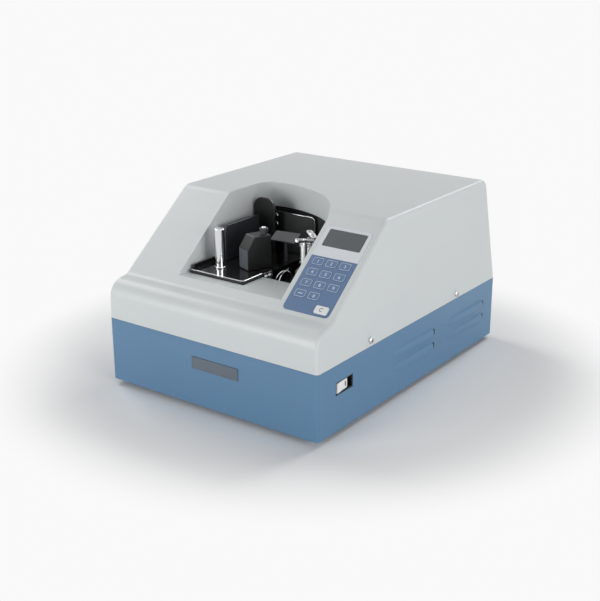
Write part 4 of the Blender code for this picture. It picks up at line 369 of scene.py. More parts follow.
def satin_nickel(name):
    """Satin nickel on ground steel: bright, but fine grinding lines round it spread each highlight wide."""
    made, tree, shader, place = blank_material(name, 0.24, 1.0)
    flat = add(tree, "ShaderNodeMapping", {"Vector": place, "Scale": (0.01, 0.01, 1)})
    lines = add(tree, "ShaderNodeTexNoise", {"Vector": flat.outputs[0], "Scale": 3600, "Detail": 2})
    shaded(tree, shader, linear("#E2E3E4"), lines.outputs[0], 0.05, 0.03)
    rough_range(tree, shader, lines.outputs[0], 0.2, 0.32)
    relief(tree, shader, lines.outputs[0], 0.000003, 0.3)
    return made


def machined_metal(name, tint, centre, roughness=0.32):
    """Turned metal: fine tool rings about 0.4 mm apart round the part's own axis."""
    made, tree, shader, place = blank_material(name, roughness, 1.0)
    about = add(tree, "ShaderNodeMapping", {"Vector": place, "Location": (-centre[0], -centre[1], 0)})
    rings = add(
        tree,
        "ShaderNodeTexWave",
        {"Vector": about.outputs[0], "Scale": 780, "Distortion": 0.6, "Detail": 1},
        wave_type="RINGS",
        rings_direction="Z",
    )
    blotch = add(tree, "ShaderNodeTexNoise", {"Vector": place, "Scale": 90, "Detail": 3})
    shaded(tree, shader, linear(tint), blotch.outputs[0], 0.1, 0.06)
    rough_range(tree, shader, blotch.outputs[0], roughness - 0.08, roughness + 0.1)
    relief(tree, shader, rings.outputs["Fac"], 0.00001, 0.5)
    return made


def drawn_steel(name, tint="#A2A5A8", along=(1, 0.04, 1)):
    """Cold-drawn or rolled steel: long faint streaks about 0.3 mm wide in the direction of rolling."""
    made, tree, shader, place = blank_material(name, 0.38, 1.0)
    stretch = add(tree, "ShaderNodeMapping", {"Vector": place, "Scale": along})
    streaks = add(tree, "ShaderNodeTexNoise", {"Vector": stretch.outputs[0], "Scale": 2600, "Detail": 2})
    shaded(tree, shader, linear(tint), streaks.outputs[0], 0.12, 0.08)
    rough_range(tree, shader, streaks.outputs[0], 0.3, 0.48)
    relief(tree, shader, streaks.outputs[0], 0.000006, 0.4)
    return made


def black_acrylic(name, colour):
    """Polished black acrylic sheet: a clear reflection, a trace of dust and hairline wipe marks."""
    made, tree, shader, place = blank_material(name, 0.07, coat_weight=0.5, coat_roughness=0.03)
    dust = add(tree, "ShaderNodeTexNoise", {"Vector": place, "Scale": 900, "Detail": 4})
    wipe = add(tree, "ShaderNodeMapping", {"Vector": place, "Scale": (1, 0.06, 1)})
    marks = add(tree, "ShaderNodeTexNoise", {"Vector": wipe.outputs[0], "Scale": 700, "Detail": 2})
    shaded(tree, shader, colour, dust.outputs[0], 0.1, 0.25)
    rough_range(tree, shader, marks.outputs[0], 0.04, 0.13)
    return made


def black_powder(name, colour):
    """Fine-textured black powder coat on folded sheet: grains about 0.6 mm across with a dull sheen."""
    made, tree, shader, place = blank_material(name, 0.5)
    grains = add(tree, "ShaderNodeTexVoronoi", {"Vector": place, "Scale": 1500})
    worn = add(tree, "ShaderNodeTexNoise", {"Vector": place, "Scale": 45, "Detail": 4})
    shaded(tree, shader, colour, worn.outputs[0], 0.15, 0.35)
    rough_range(tree, shader, worn.outputs[0], 0.4, 0.6)
    relief(tree, shader, grains.outputs["Distance"], 0.00006, 0.6)
    return made


def label_film(name, light, blue, border):
    """Polyester label film with a velvet finish, printed on its back: light grey, with the blue key field
    below the border line. The border is a height up the slope, read from the object's own place."""
    made, tree, shader, place = blank_material(name, 0.38)
    up_slope = (0, cos(CONSOLE_ANGLE), sin(CONSOLE_ANGLE))
    up = add(tree, "ShaderNodeVectorMath", {0: place, 1: up_slope}, operation="DOT_PRODUCT")
    line = Vector(up_slope).dot(CONSOLE_ORIGIN) + border
    above = add(tree, "ShaderNodeMath", {0: up.outputs["Value"], 1: line}, operation="GREATER_THAN")
    ink = add(tree, "ShaderNodeMix", {0: above.outputs[0], 6: blue, 7: light}, data_type="RGBA")
    velvet = add(tree, "ShaderNodeTexNoise", {"Vector": place, "Scale": 3200, "Detail": 1})
    shaded(tree, shader, ink.outputs[2], velvet.outputs[0], 0.04, 0.04)
    rough_range(tree, shader, velvet.outputs[0], 0.3, 0.46)
    relief(tree, shader, velvet.outputs[0], 0.00001, 0.4)
    return made


def smoked_acrylic(name, colour):
    """Smoked acrylic window, matt on its face against glare, so that it reads as an even dark grey."""
    made, tree, shader, place = blank_material(name, 0.22, coat_weight=0.25, coat_roughness=0.18)
    haze = add(tree, "ShaderNodeTexNoise", {"Vector": place, "Scale": 140, "Detail": 3})
    shaded(tree, shader, colour, haze.outputs[0], 0.04, 0.04)
    rough_range(tree, shader, haze.outputs[0], 0.18, 0.28)
    return made


def screen_ink(name, colour):
    """Screen-printed ink: matt, with the faint unevenness of the mesh at about 0.2 mm."""
    made, tree, shader, place = blank_material(name, 0.5)
    mesh = add(tree, "ShaderNodeTexNoise", {"Vector": place, "Scale": 5000, "Detail": 0})
    shaded(tree, shader, colour, mesh.outputs[0], 0.05, 0.03)
    return made


def nitrile_rubber(name):
    """Black nitrile rubber: dull, slightly greyed where it is handled."""
    made, tree, shader, place = blank_material(name, 0.8)
    bloom = add(tree, "ShaderNodeTexNoise", {"Vector": place, "Scale": 160, "Detail": 4})
    shaded(tree, shader, linear("#1E1F20"), bloom.outputs[0], 0.2, 0.5)
    rough_range(tree, shader, bloom.outputs[0], 0.7, 0.9)
    relief(tree, shader, bloom.outputs[0], 0.00008, 0.5)
    return made


def circuit_board(name):
    """Glass-fibre board under green solder resist: copper tracks show as a lighter, slightly raised grid."""
    made, tree, shader, place = blank_material(name, 0.35)
    tracks = add(
        tree,
        "ShaderNodeTexBrick",
        {
            "Vector": place,
            "Scale": 60,
            "Mortar Size": 0.012,
            "Color1": linear("#235C3A"),
            "Color2": linear("#276643"),
            "Mortar": linear("#4C9264"),
        },
    )
    weave = add(tree, "ShaderNodeTexNoise", {"Vector": place, "Scale": 900, "Detail": 1})
    shaded(tree, shader, tracks.outputs["Color"], weave.outputs[0], 0.08, 0.08)
    relief(tree, shader, tracks.outputs["Fac"], 0.00003, 0.5)
    return made


MATERIALS = {}


def finishes():
    """Every finish of the counter by name, made once."""
    if MATERIALS:
        return MATERIALS
    colours = bpy.context.scene.counter_colours
    black, blue = tuple(colours.black), tuple(colours.label_blue)
    made = {
        "cover_paint": stove_paint("cover_stove_paint", tuple(colours.cover)),
        "base_paint": stove_paint("base_stove_paint", tuple(colours.base)),
        "chrome": polished_chrome("polished_chrome"),
        "satin": satin_nickel("satin_nickel"),
        "black_acrylic": black_acrylic("black_acrylic_sheet", black),
        "black_powder": black_powder("black_powder_coat", black),
        "black_abs": moulded_abs("black_moulded_abs", black, 0.36),
        "charcoal_abs": moulded_abs("charcoal_moulded_abs", linear("#2C3034"), 0.4),
        "grey_face": moulded_abs("grey_moulded_face", linear("#565B60"), 0.38),
        "plate": moulded_abs("dark_grey_plate", tuple(colours.plate), 0.4, 0.3),
        "blade": moulded_abs("glossy_grey_blade", linear("#4C5054"), 0.2, 0.15),
        "white_abs": moulded_abs("white_moulded_abs", linear("#E3E5E5"), 0.32, 0.3),
        "label": label_film("printed_label_film", tuple(colours.label), blue, KEY_FIELD_TOP),
        "key": moulded_abs("blue_key_film", blue, 0.38, 0.25),
        "window": smoked_acrylic("smoked_acrylic_window", tuple(colours.window)),
        "ink": screen_ink("pale_screen_ink", tuple(colours.ink)),
        "clear_ink": screen_ink("blue_grey_screen_ink", tuple(colours.clear_ink)),
        "red_ink": screen_ink("dark_red_screen_ink", linear("#7E2A24")),
        "rubber": nitrile_rubber("nitrile_rubber"),
        "board": circuit_board("green_circuit_board"),
        "steel": drawn_steel("drawn_steel"),
        "laminations": drawn_steel("steel_laminations", "#8C8F92", (0.05, 1, 1)),
        "turned_head": machined_metal("turned_aluminium_head", "#B4B7BA", HEAD_AXIS),
        "turned_motor": machined_metal("turned_steel_motor", "#9C9FA2", MOTOR_AXIS),
        "cast_pump": machined_metal("die_cast_aluminium", "#A9ACAF", PUMP_AXIS, 0.45),
        "brass": drawn_steel("brass_blades", "#C9A65A"),
        # Painted shade: a near-black matt ink laid where a hole or opening is, standing for the shade inside
        # it
        "hole_shade": screen_ink("painted_hole_shade", linear("#0B0C0C")),
    }
    MATERIALS.update(made)
    return MATERIALS


def settle(piece, body, replaced=()):
    """Hands a finished piece to the frame: what it moves with, and the nodes that it stands for."""
    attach(piece, body)
    if replaced:
        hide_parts(*replaced)
    return piece


def new_object(name, mesh, material):
    made = bpy.data.objects.new(name, mesh)
    bpy.context.scene.collection.objects.link(made)
    if material is not None:
        made.data.materials.clear()
        made.data.materials.append(material)
    return made


def frozen(name, source, material):
    """The evaluated shape of an object as a new plain mesh, with the old object removed."""
    bpy.context.view_layer.update()
    graph = bpy.context.evaluated_depsgraph_get()
    mesh = bpy.data.meshes.new_from_object(source.evaluated_get(graph), depsgraph=graph)
    mesh.transform(source.matrix_world)
    mesh.name = name
    bpy.data.objects.remove(source)
    return new_object(name, mesh, material)


def from_bmesh(name, bm, material, place=None, angle=SHARP_ROUND):
    """A finished piece from a bmesh: outward faces, rounded shading, its place in its mesh."""
    bmesh.ops.recalc_face_normals(bm, faces=bm.faces)
    mesh = bpy.data.meshes.new(name)
    bm.to_mesh(mesh)
    bm.free()
    mesh.shade_smooth()
    mesh.set_sharp_from_angle(angle=radians(angle))
    if place is not None:
        mesh.transform(place)
    return new_object(name, mesh, material)


def dressed(node, finish, angle=SHARP, edge=0.0, segments=2, rim=None):
    """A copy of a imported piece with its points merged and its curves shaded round. Edges sharper than the
    angle, or those that rim() picks, are rounded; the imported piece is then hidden."""
    bm = bmesh.new()
    bm.from_mesh(NODES[node].data)
    bmesh.ops.remove_doubles(bm, verts=bm.verts, dist=0.000002)
    bmesh.ops.dissolve_limit(bm, angle_limit=radians(0.4), verts=bm.verts, edges=bm.edges)
    mesh = bpy.data.meshes.new(f"{node}_dressed")
    if rim is not None:
        weight = bm.edges.layers.float.new("bevel_weight_edge")
        for line in bm.edges:
            line[weight] = 1.0 if line.calc_face_angle(0) > radians(angle) and rim(*line.verts) else 0.0
    bm.to_mesh(mesh)
    bm.free()
    mesh.shade_smooth()
    mesh.set_sharp_from_angle(angle=radians(angle))
    made = new_object(f"{node}_dressed", mesh, finish)
    if edge:
        bevel = made.modifiers.new("edge", "BEVEL")
        bevel.width = edge
        bevel.segments = segments
        bevel.limit_method = "ANGLE" if rim is None else "WEIGHT"
        bevel.angle_limit = radians(angle)
        bevel.use_clamp_overlap = True
        bevel.harden_normals = rim is None
    weighted = made.modifiers.new("weighted", "WEIGHTED_NORMAL")
    weighted.keep_sharp = True
    made = frozen(f"{node}_dressed", made, finish)
    return settle(made, BODY[node], (node,))


def lathe(profile, sides=48):
    """A turned shape about Z from a (radius, height) profile, closed where the radius is zero."""
    bm = bmesh.new()
    rings = []
    for radius, height in profile:
        if radius:
            spokes = [2 * pi * i / sides for i in range(sides)]
            rings.append([bm.verts.new((radius * cos(a), radius * sin(a), height)) for a in spokes])
        else:
            rings.append([bm.verts.new((0, 0, height))])
    if len(rings[0]) > 1:
        rings.append(rings[0])
    for low, high in zip(rings, rings[1:]):
        for i in range(sides):
            j = (i + 1) % sides
            if len(low) == 1:
                bm.faces.new((low[0], high[j], high[i]))
            elif len(high) == 1:
                bm.faces.new((low[i], low[j], high[0]))
            else:
                bm.faces.new((low[i], low[j], high[j], high[i]))
    return bm


def slab(width, depth, height, radius=0.0, steps=5):
    """A flat block about the origin with round upright corners, from zero to its height."""
    corners = []
    for sx, sy, start in ((1, 1, 0), (-1, 1, pi / 2), (-1, -1, pi), (1, -1, 3 * pi / 2)):
        for step in range(steps + 1 if radius else 1):
            angle = start + pi / 2 * step / steps
            x = sx * (width / 2 - radius) + radius * cos(angle)
            y = sy * (depth / 2 - radius) + radius * sin(angle)
            corners.append((x, y))
    bm = bmesh.new()
    low = [bm.verts.new((x, y, 0)) for x, y in corners]
    high = [bm.verts.new((x, y, height)) for x, y in corners]
    bm.faces.new(low[::-1])
    bm.faces.new(high)
    for i in range(len(corners)):
        j = (i + 1) % len(corners)
        bm.faces.new((low[i], low[j], high[j], high[i]))
    return bm


def set_input(modifier, name, value):
    """Sets a Geometry Nodes input by the identifier of the socket with this name."""
    for item in modifier.node_group.interface.items_tree:
        if item.item_type == "SOCKET" and item.in_out == "INPUT" and item.name == name:
            modifier[item.identifier] = value
            return
    raise KeyError(name)


def tree_with(name, sockets):
    """A geometry tree with named inputs and one Geometry output."""
    tree = bpy.data.node_groups.new(name, "GeometryNodeTree")
    for label, kind in sockets:
        tree.interface.new_socket(label, in_out="INPUT", socket_type=kind)
    tree.interface.new_socket("Geometry", in_out="OUTPUT", socket_type="NodeSocketGeometry")
    return tree, add(tree, "NodeGroupInput"), add(tree, "NodeGroupOutput")


def copies_tree():
    """Puts a copy of a part on every point, turned to the point's facing direction."""
    found = bpy.data.node_groups.get("copies_on_points")
    if found:
        return found
    tree, given, out = tree_with(
        "copies_on_points",
        [("Geometry", "NodeSocketGeometry"), ("Part", "NodeSocketObject"), ("Finish", "NodeSocketMaterial")],
    )
    part = add(tree, "GeometryNodeObjectInfo", {"Object": given.outputs["Part"]})
    facing = add(tree, "GeometryNodeInputNamedAttribute", {"Name": "facing"}, data_type="FLOAT_VECTOR")
    turn = add(tree, "FunctionNodeAlignRotationToVector", {"Vector": facing.outputs["Attribute"]}, axis="Z")
    spread = add(
        tree,
        "GeometryNodeInstanceOnPoints",
        {
            "Points": given.outputs["Geometry"],
            "Instance": part.outputs["Geometry"],
            "Rotation": turn.outputs[0],
        },
    )
    real = add(tree, "GeometryNodeRealizeInstances", {"Geometry": spread.outputs[0]})
    finish = add(
        tree,
        "GeometryNodeSetMaterial",
        {"Geometry": real.outputs[0], "Material": given.outputs["Finish"]},
    )
    tree.links.new(finish.outputs[0], out.inputs["Geometry"])
    return tree


def outline_tree():
    """A flat line round a rounded rectangle, as a strip with a little thickness."""
    found = bpy.data.node_groups.get("printed_outline")
    if found:
        return found
    floats = [(label, "NodeSocketFloat") for label in ("Width", "Height", "Corner", "Line", "Thickness")]
    tree, given, out = tree_with(
        "printed_outline",
        [("Geometry", "NodeSocketGeometry"), *floats, ("Finish", "NodeSocketMaterial")],
    )
    path = add(
        tree,
        "GeometryNodeCurvePrimitiveQuadrilateral",
        {"Width": given.outputs["Width"], "Height": given.outputs["Height"]},
    )
    corner = add(
        tree,
        "GeometryNodeFilletCurve",
        {"Curve": path.outputs[0], "Radius": given.outputs["Corner"], "Count": 5},
        mode="POLY",
    )
    section = add(
        tree,
        "GeometryNodeCurvePrimitiveQuadrilateral",
        {"Width": given.outputs["Line"], "Height": given.outputs["Thickness"]},
    )
    strip = add(
        tree,
        "GeometryNodeCurveToMesh",
        {"Curve": corner.outputs[0], "Profile Curve": section.outputs[0]},
    )
    real = add(tree, "GeometryNodeRealizeInstances", {"Geometry": strip.outputs[0]})
    finish = add(
        tree,
        "GeometryNodeSetMaterial",
        {"Geometry": real.outputs[0], "Material": given.outputs["Finish"]},
    )
    tree.links.new(finish.outputs[0], out.inputs["Geometry"])
    return tree


def copies(name, part, places, finish, body, replaced=()):
    """Copies of a part, which is a bmesh with its foot at zero and its face along Z, at (point, facing)."""
    shape = from_bmesh(f"{name}_part", part, finish)
    points = bpy.data.meshes.new(name)
    points.from_pydata([tuple(point) for point, _ in places], [], [])
    facing = points.attributes.new("facing", "FLOAT_VECTOR", "POINT")
    for slot_value, (_, direction) in zip(facing.data, places):
        slot_value.vector = direction
    holder = new_object(name, points, None)
    modifier = holder.modifiers.new("copies", "NODES")
    modifier.node_group = copies_tree()
    set_input(modifier, "Part", shape)
    set_input(modifier, "Finish", finish)
    made = frozen(name, holder, finish)
    bpy.data.objects.remove(shape)
    made.data.shade_smooth()
    made.data.set_sharp_from_angle(angle=radians(SHARP_ROUND))
    return settle(made, body, replaced)


def pan_screw(radius, height, shank=0.0):
    """A pan head with a cross recess, and a short shank under it."""
    profile = [
        (0, height),
        (radius * 0.55, height),
        (radius * 0.86, height * 0.82),
        (radius, height * 0.5),
        (radius, 0),
    ]
    if shank:
        profile += [(radius / 2, 0), (radius / 2, -shank), (0, -shank)]
    else:
        profile += [(0, 0)]
    head = from_bmesh("screw_head", lathe(profile[::-1], 40), None)
    for turn in (0, pi / 2):
        arm = slab(radius * 1.25, radius * 0.26, height, 0)
        place = Matrix.Translation((0, 0, height * 0.35)) @ Matrix.Rotation(turn, 4, "Z")
        cutter = from_bmesh(f"recess_{turn:.0f}", arm, None, place)
        groove = head.modifiers.new("recess", "BOOLEAN")
        groove.operation = "DIFFERENCE"
        groove.solver = "EXACT"
        groove.object = cutter
    bpy.context.view_layer.update()
    graph = bpy.context.evaluated_depsgraph_get()
    mesh = bpy.data.meshes.new_from_object(head.evaluated_get(graph), depsgraph=graph)
    bm = bmesh.new()
    bm.from_mesh(mesh)
    for modifier in list(head.modifiers):
        bpy.data.objects.remove(modifier.object)
    bpy.data.objects.remove(head)
    bpy.data.meshes.remove(mesh)
    return bm


def printed_text(name, text, height, place, finish, body, wide=1.0):
    """Printed characters, centred on a place, as a thin mesh."""
    curve = bpy.data.curves.new(name, "FONT")
    curve.body = text
    curve.size = height * 1.38
    curve.align_x = "CENTER"
    curve.align_y = "CENTER"
    curve.offset = height * 0.018
    curve.extrude = PRINT_LIFT / 2
    writing = bpy.data.objects.new(name, curve)
    bpy.context.scene.collection.objects.link(writing)
    writing.scale = (wide, 1, 1)
    made = frozen(name, writing, finish)
    across = [point.co.x for point in made.data.vertices]
    up = [point.co.y for point in made.data.vertices]
    centre = (-(min(across) + max(across)) / 2, -(min(up) + max(up)) / 2, PRINT_LIFT)
    made.data.transform(place @ Matrix.Translation(centre))
    return settle(made, body)


def printed_outline(name, width, height, corner, line, place, finish, body, slot):
    """A printed line round a rounded rectangle."""
    holder = new_object(name, bpy.data.meshes.new(name), None)
    modifier = holder.modifiers.new("outline", "NODES")
    modifier.node_group = outline_tree()
    sizes = {"Width": width, "Height": height, "Corner": corner, "Line": line, "Thickness": PRINT_LIFT}
    for label, value in sizes.items():
        set_input(modifier, label, value)
    set_input(modifier, "Finish", finish)
    made = frozen(name, holder, finish)
    made.data.transform(place @ Matrix.Translation((0, 0, PRINT_LIFT)))
    return settle(made, body)


def bent_rod(name, points, radius, finish, body):
    """A round rod, or a thin rod that paints the highlight of an edge, that runs through the points, with
    round bends.
    """
    curve = bpy.data.curves.new(name, "CURVE")
    curve.dimensions = "3D"
    curve.bevel_depth = radius
    curve.bevel_resolution = 4
    curve.resolution_u = 8
    curve.use_fill_caps = True
    line = curve.splines.new("BEZIER")
    line.bezier_points.add(len(points) - 1)
    for knot, point in zip(line.bezier_points, points):
        knot.co = point
        knot.handle_left_type = knot.handle_right_type = "AUTO"
    rod = bpy.data.objects.new(name, curve)
    bpy.context.scene.collection.objects.link(rod)
    made = frozen(name, rod, finish)
    made.data.shade_smooth()
    return settle(made, body)


def on_bay_wall(vert):
    """Whether a point lies on the wall of the note bay, seen from above."""
    x, y, z = vert.co
    if z < BAY_LEDGE or y > BAY_REAR:
        return False
    centre, radius = BAY_ARC
    from_arc = abs((Vector((x, y)) - centre).length - radius)
    corner = Vector((-BAY_HALF + BAY_CORNER, BAY_CORNER_Y))
    from_corner = abs((Vector((x, y)) - corner).length - BAY_CORNER)
    return min(abs(abs(x) - BAY_HALF), from_arc, from_corner) < ON_WALL


def key_places():
    """Each key: its node, its printed sign, its place on the console."""
    rows = [("1", "2", "3"), ("4", "5", "6"), ("7", "8", "9"), ("mode", "0")]
    places = []
    for row, names in enumerate(rows):
        for column, name in enumerate(names):
            up = KEY_BOTTOM_ROW + (len(rows) - 1 - row) * KEY_ROW_PITCH
            places.append((name, (column - 1) * KEY_COLUMN_PITCH, up))
    return places


class COUNTER_OT_casing(bpy.types.Operator):
    """Paint the cover and the base and soften the rim of the note bay"""

    bl_idname = "counter.casing"
    bl_label = "Casing"

    def execute(self, context):
        made = finishes()
        sizes = context.scene.counter_sizes

        def at_rim(first, second):
            return on_bay_wall(first) and on_bay_wall(second)

        dressed("top_cover", made["cover_paint"], SHARP, sizes.bay_rim, 3, at_rim)
        dressed("base_case", made["base_paint"])
        dressed("nameplate", made["plate"], edge=sizes.edge)
        for number in range(1, 5):
            dressed(f"rubber_foot_{number}", made["rubber"], edge=sizes.edge)
        return {"FINISHED"}


class COUNTER_OT_screws(bpy.types.Operator):
    """Put pan screws with cross recesses in the cover, the back plate and the deck"""

    bl_idname = "counter.screws"
    bl_label = "Screws"

    def execute(self, context):
        made = finishes()
        sizes = context.scene.counter_sizes
        cover = []
        for number in range(1, 5):
            low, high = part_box(f"cover_screw_{number}")
            side = 1 if low.x > 0 else -1
            face = high.x if side > 0 else low.x
            seat = face - side * sizes.screw_height
            cover.append(((seat, (low.y + high.y) / 2, (low.z + high.z) / 2), (side, 0, 0)))
        names = [f"cover_screw_{number}" for number in range(1, 5)]
        head = pan_screw(sizes.screw_radius, sizes.screw_height, COVER_SCREW_SHANK)
        copies("cover_screws", head, cover, made["chrome"], "machine", names)
        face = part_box("back_plate")[1].y - PLATE_SHEET
        plate = [((PLATE_SCREW_X, face, z), (0, -1, 0)) for z in PLATE_SCREW_HEIGHTS]
        copies("back_plate_screws", pan_screw(*PLATE_SCREW), plate, made["chrome"], "machine")
        # Painted shade: a thin near-black patch just past each louvre hood stands for the shaded opening
        # behind it
        ends = [(side, y, z) for side in (-1, 1) for y in LOUVRE_ENDS for z in LOUVRE_HEIGHTS]
        shade_patches = [((side * LOUVRE_SHADE_X, y + LOUVRE_SHADE_SHIFT, z), (side, 0, 0)) for side, y, z in ends]
        copies("louvre_mouths", slab(*LOUVRE_SHADE), shade_patches, made["hole_shade"], "machine")
        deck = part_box("mechanism_frame")[1].z
        deck_places = [((x, y, deck), (0, 0, 1)) for x, y in DECK_SCREW_PLACES]
        copies("deck_screws", pan_screw(*DECK_SCREW), deck_places, made["chrome"], "machine")
        return {"FINISHED"}


class COUNTER_OT_console(bpy.types.Operator):
    """Finish the label, the display window, the keys and their printing"""

    bl_idname = "counter.console"
    bl_label = "Console"

    def execute(self, context):
        made = finishes()
        sizes = context.scene.counter_sizes
        dressed("label_overlay", made["label"])
        dressed("display_window", made["window"], edge=FINE_EDGE)
        dressed("control_board", made["board"])
        for sign, x, up in key_places():
            node = f"key_{sign}"
            dressed(node, made["key"], edge=FINE_EDGE)
            place = CONSOLE @ Matrix.Translation((x, up, KEY_TOP))
            body, slot = BODY[node], SLOT[node]
            line = sizes.outline
            printed_outline(f"{node}_outline", *KEY_OUTLINE, line, place, made["ink"], body, slot)
            if sign == "mode":
                width, height, corner = MODE_MARK
                lifted = place @ Matrix.Translation((0, 0, PRINT_LIFT / 2))
                bar = slab(width, height, PRINT_LIFT, corner)
                settle(from_bmesh("key_mode_mark", bar, made["ink"], lifted), body)
            else:
                printed_text(f"{node}_digit", sign, sizes.digit, place, made["ink"], body, 1.05)
        dressed("key_clear", made["white_abs"], edge=SMALL_EDGE)
        place = CONSOLE @ Matrix.Translation((*CLEAR_KEY_PLACE, CLEAR_KEY_TOP))
        body, slot = BODY["key_clear"], SLOT["key_clear"]
        printed_text("key_clear_letter", "C", CLEAR_LETTER_HEIGHT, place, made["clear_ink"], body)
        return {"FINISHED"}


class COUNTER_OT_power(bpy.types.Operator):
    """Finish the power switch, its red mark, and the mains inlet with its brass blades"""

    bl_idname = "counter.power"
    bl_label = "Power parts"

    def execute(self, context):
        made = finishes()
        sizes = context.scene.counter_sizes
        dressed("switch_body", made["black_abs"], edge=FINE_EDGE)
        dressed("power_rocker", made["white_abs"], SHARP_SOFT, SOFT_EDGE, 3)
        turned = Matrix.Translation(ROCKER_AXIS) @ Matrix.Rotation(ROCKER_TURN, 4, "Z")
        place = turned @ Matrix.Translation(ROCKER_MARK_PLACE)
        place = place @ Matrix.Rotation(pi / 2, 4, "Y") @ Matrix.Rotation(pi / 2, 4, "Z")
        settle(from_bmesh("rocker_mark", slab(*ROCKER_MARK), made["red_ink"], place), "rocker")
        dressed("inlet_socket", made["black_abs"], edge=sizes.edge)
        for index, (x, z) in enumerate(INLET_BLADE_PLACES, 1):
            place = Matrix.Translation(INLET_FACE + Vector((x, 0, z))) @ Matrix.Rotation(-pi / 2, 4, "X")
            blade = from_bmesh(f"inlet_blade_{index}", slab(*INLET_BLADE), made["brass"], place)
            settle(blade, "machine")
        return {"FINISHED"}


class COUNTER_OT_note_bay(bpy.types.Operator):
    """Finish the tray, the post, the guides and the black walls of the note bay"""

    bl_idname = "counter.note_bay"
    bl_label = "Note bay"

    def execute(self, context):
        made = finishes()
        edge = context.scene.counter_sizes.edge
        dressed("tray", made["black_acrylic"], edge=edge)
        dressed("tray_trim", made["chrome"], edge=edge)
        dressed("guide_post", made["chrome"], SHARP_ROUND, SMALL_EDGE)
        dressed("guide_plate", made["charcoal_abs"], edge=SOFT_EDGE)
        dressed("corner_plate", made["black_abs"], edge=SOFT_EDGE)
        dressed("back_plate", made["black_powder"], edge=SMALL_EDGE)
        dressed("well_shroud", made["black_powder"])
        dressed("mechanism_frame", made["black_powder"], edge=edge)
        dressed("note_blade", made["blade"], edge=SMALL_EDGE)
        dressed("guard_wire", made["chrome"], SHARP_SOFT)
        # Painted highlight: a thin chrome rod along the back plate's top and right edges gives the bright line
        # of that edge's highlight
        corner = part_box("back_plate")[1]
        face = corner.y - PLATE_EDGE_DEPTH
        highlight_line = [(x, face, corner.z - drop) for x, drop in PLATE_EDGE_START]
        highlight_line += [(corner.x - inset, face, corner.z - drop) for inset, drop in PLATE_EDGE_STEPS]
        bent_rod("back_plate_edge", highlight_line, PLATE_EDGE_RADIUS, made["chrome"], "machine")
        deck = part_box("mechanism_frame")[1].z
        for name, points, radius in (
            ("link_rod", LINK_ROD, LINK_ROD_RADIUS),
            ("sensor_arm", SENSOR_ARM, SENSOR_ARM_RADIUS),
        ):
            line = [(x, y, deck + rise) for x, y, rise in points]
            bent_rod(name, line, radius, made["chrome"], "machine")
        place = Matrix.Translation((*SENSOR_PLACE, deck))
        sensor = from_bmesh("sensor_block", slab(*SENSOR_BLOCK), made["black_abs"], place)
        settle(sensor, "machine")
        dressed("tray_bracket", made["chrome"], edge=FINE_EDGE)
        return {"FINISHED"}


class COUNTER_OT_press(bpy.types.Operator):
    """Finish the press block with its grey face, its knurled knob, its pivot and its spring"""

    bl_idname = "counter.press"
    bl_label = "Press block"

    def execute(self, context):
        made = finishes()
        sizes = context.scene.counter_sizes
        dressed("press_block", made["black_abs"], SHARP, PRESS_EDGE, 3)
        dressed("press_pivot", made["chrome"], SHARP_ROUND, FINE_EDGE)
        dressed("press_spring", made["steel"], SHARP_SOFT)
        axis = Matrix.Translation(PRESS_AXIS) @ Matrix.Rotation(PRESS_TURN, 4, "Z")
        place = axis @ Matrix.Translation(PRESS_FACE_PLACE) @ Matrix.Rotation(pi / 2, 4, "X")
        settle(from_bmesh("press_face", slab(*PRESS_FACE), made["grey_face"], place), "press")
        low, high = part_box("press_knob")
        foot, top = low.z, high.z
        profile = [
            (KNOB_BORE, foot),
            (KNOB_WAIST, foot),
            (KNOB_WAIST, foot + 0.0024),
            (KNOB_RADIUS - 0.0004, foot + 0.0026),
            (KNOB_RADIUS, foot + 0.0031),
            (KNOB_RADIUS, top - 0.0006),
            (KNOB_RADIUS - 0.0006, top),
            (KNOB_BORE, top),
        ]
        middle = Matrix.Translation(PRESS_AXIS)
        knob = from_bmesh("press_knob_body", lathe(profile), made["charcoal_abs"], middle)
        settle(knob, "press", ("press_knob",))
        ridges = []
        for index in range(sizes.knurls):
            angle = 2 * pi * index / sizes.knurls
            out = Vector((cos(angle), sin(angle), 0))
            rise = Vector((0, 0, (foot + top) / 2 + 0.0012))
            ridges.append((PRESS_AXIS + out * (KNOB_RADIUS - 0.0001) + rise, out))
        ridge, finish = slab(*KNURL, 2), made["charcoal_abs"]
        copies("press_knob_knurls", ridge, ridges, finish, "press")
        return {"FINISHED"}


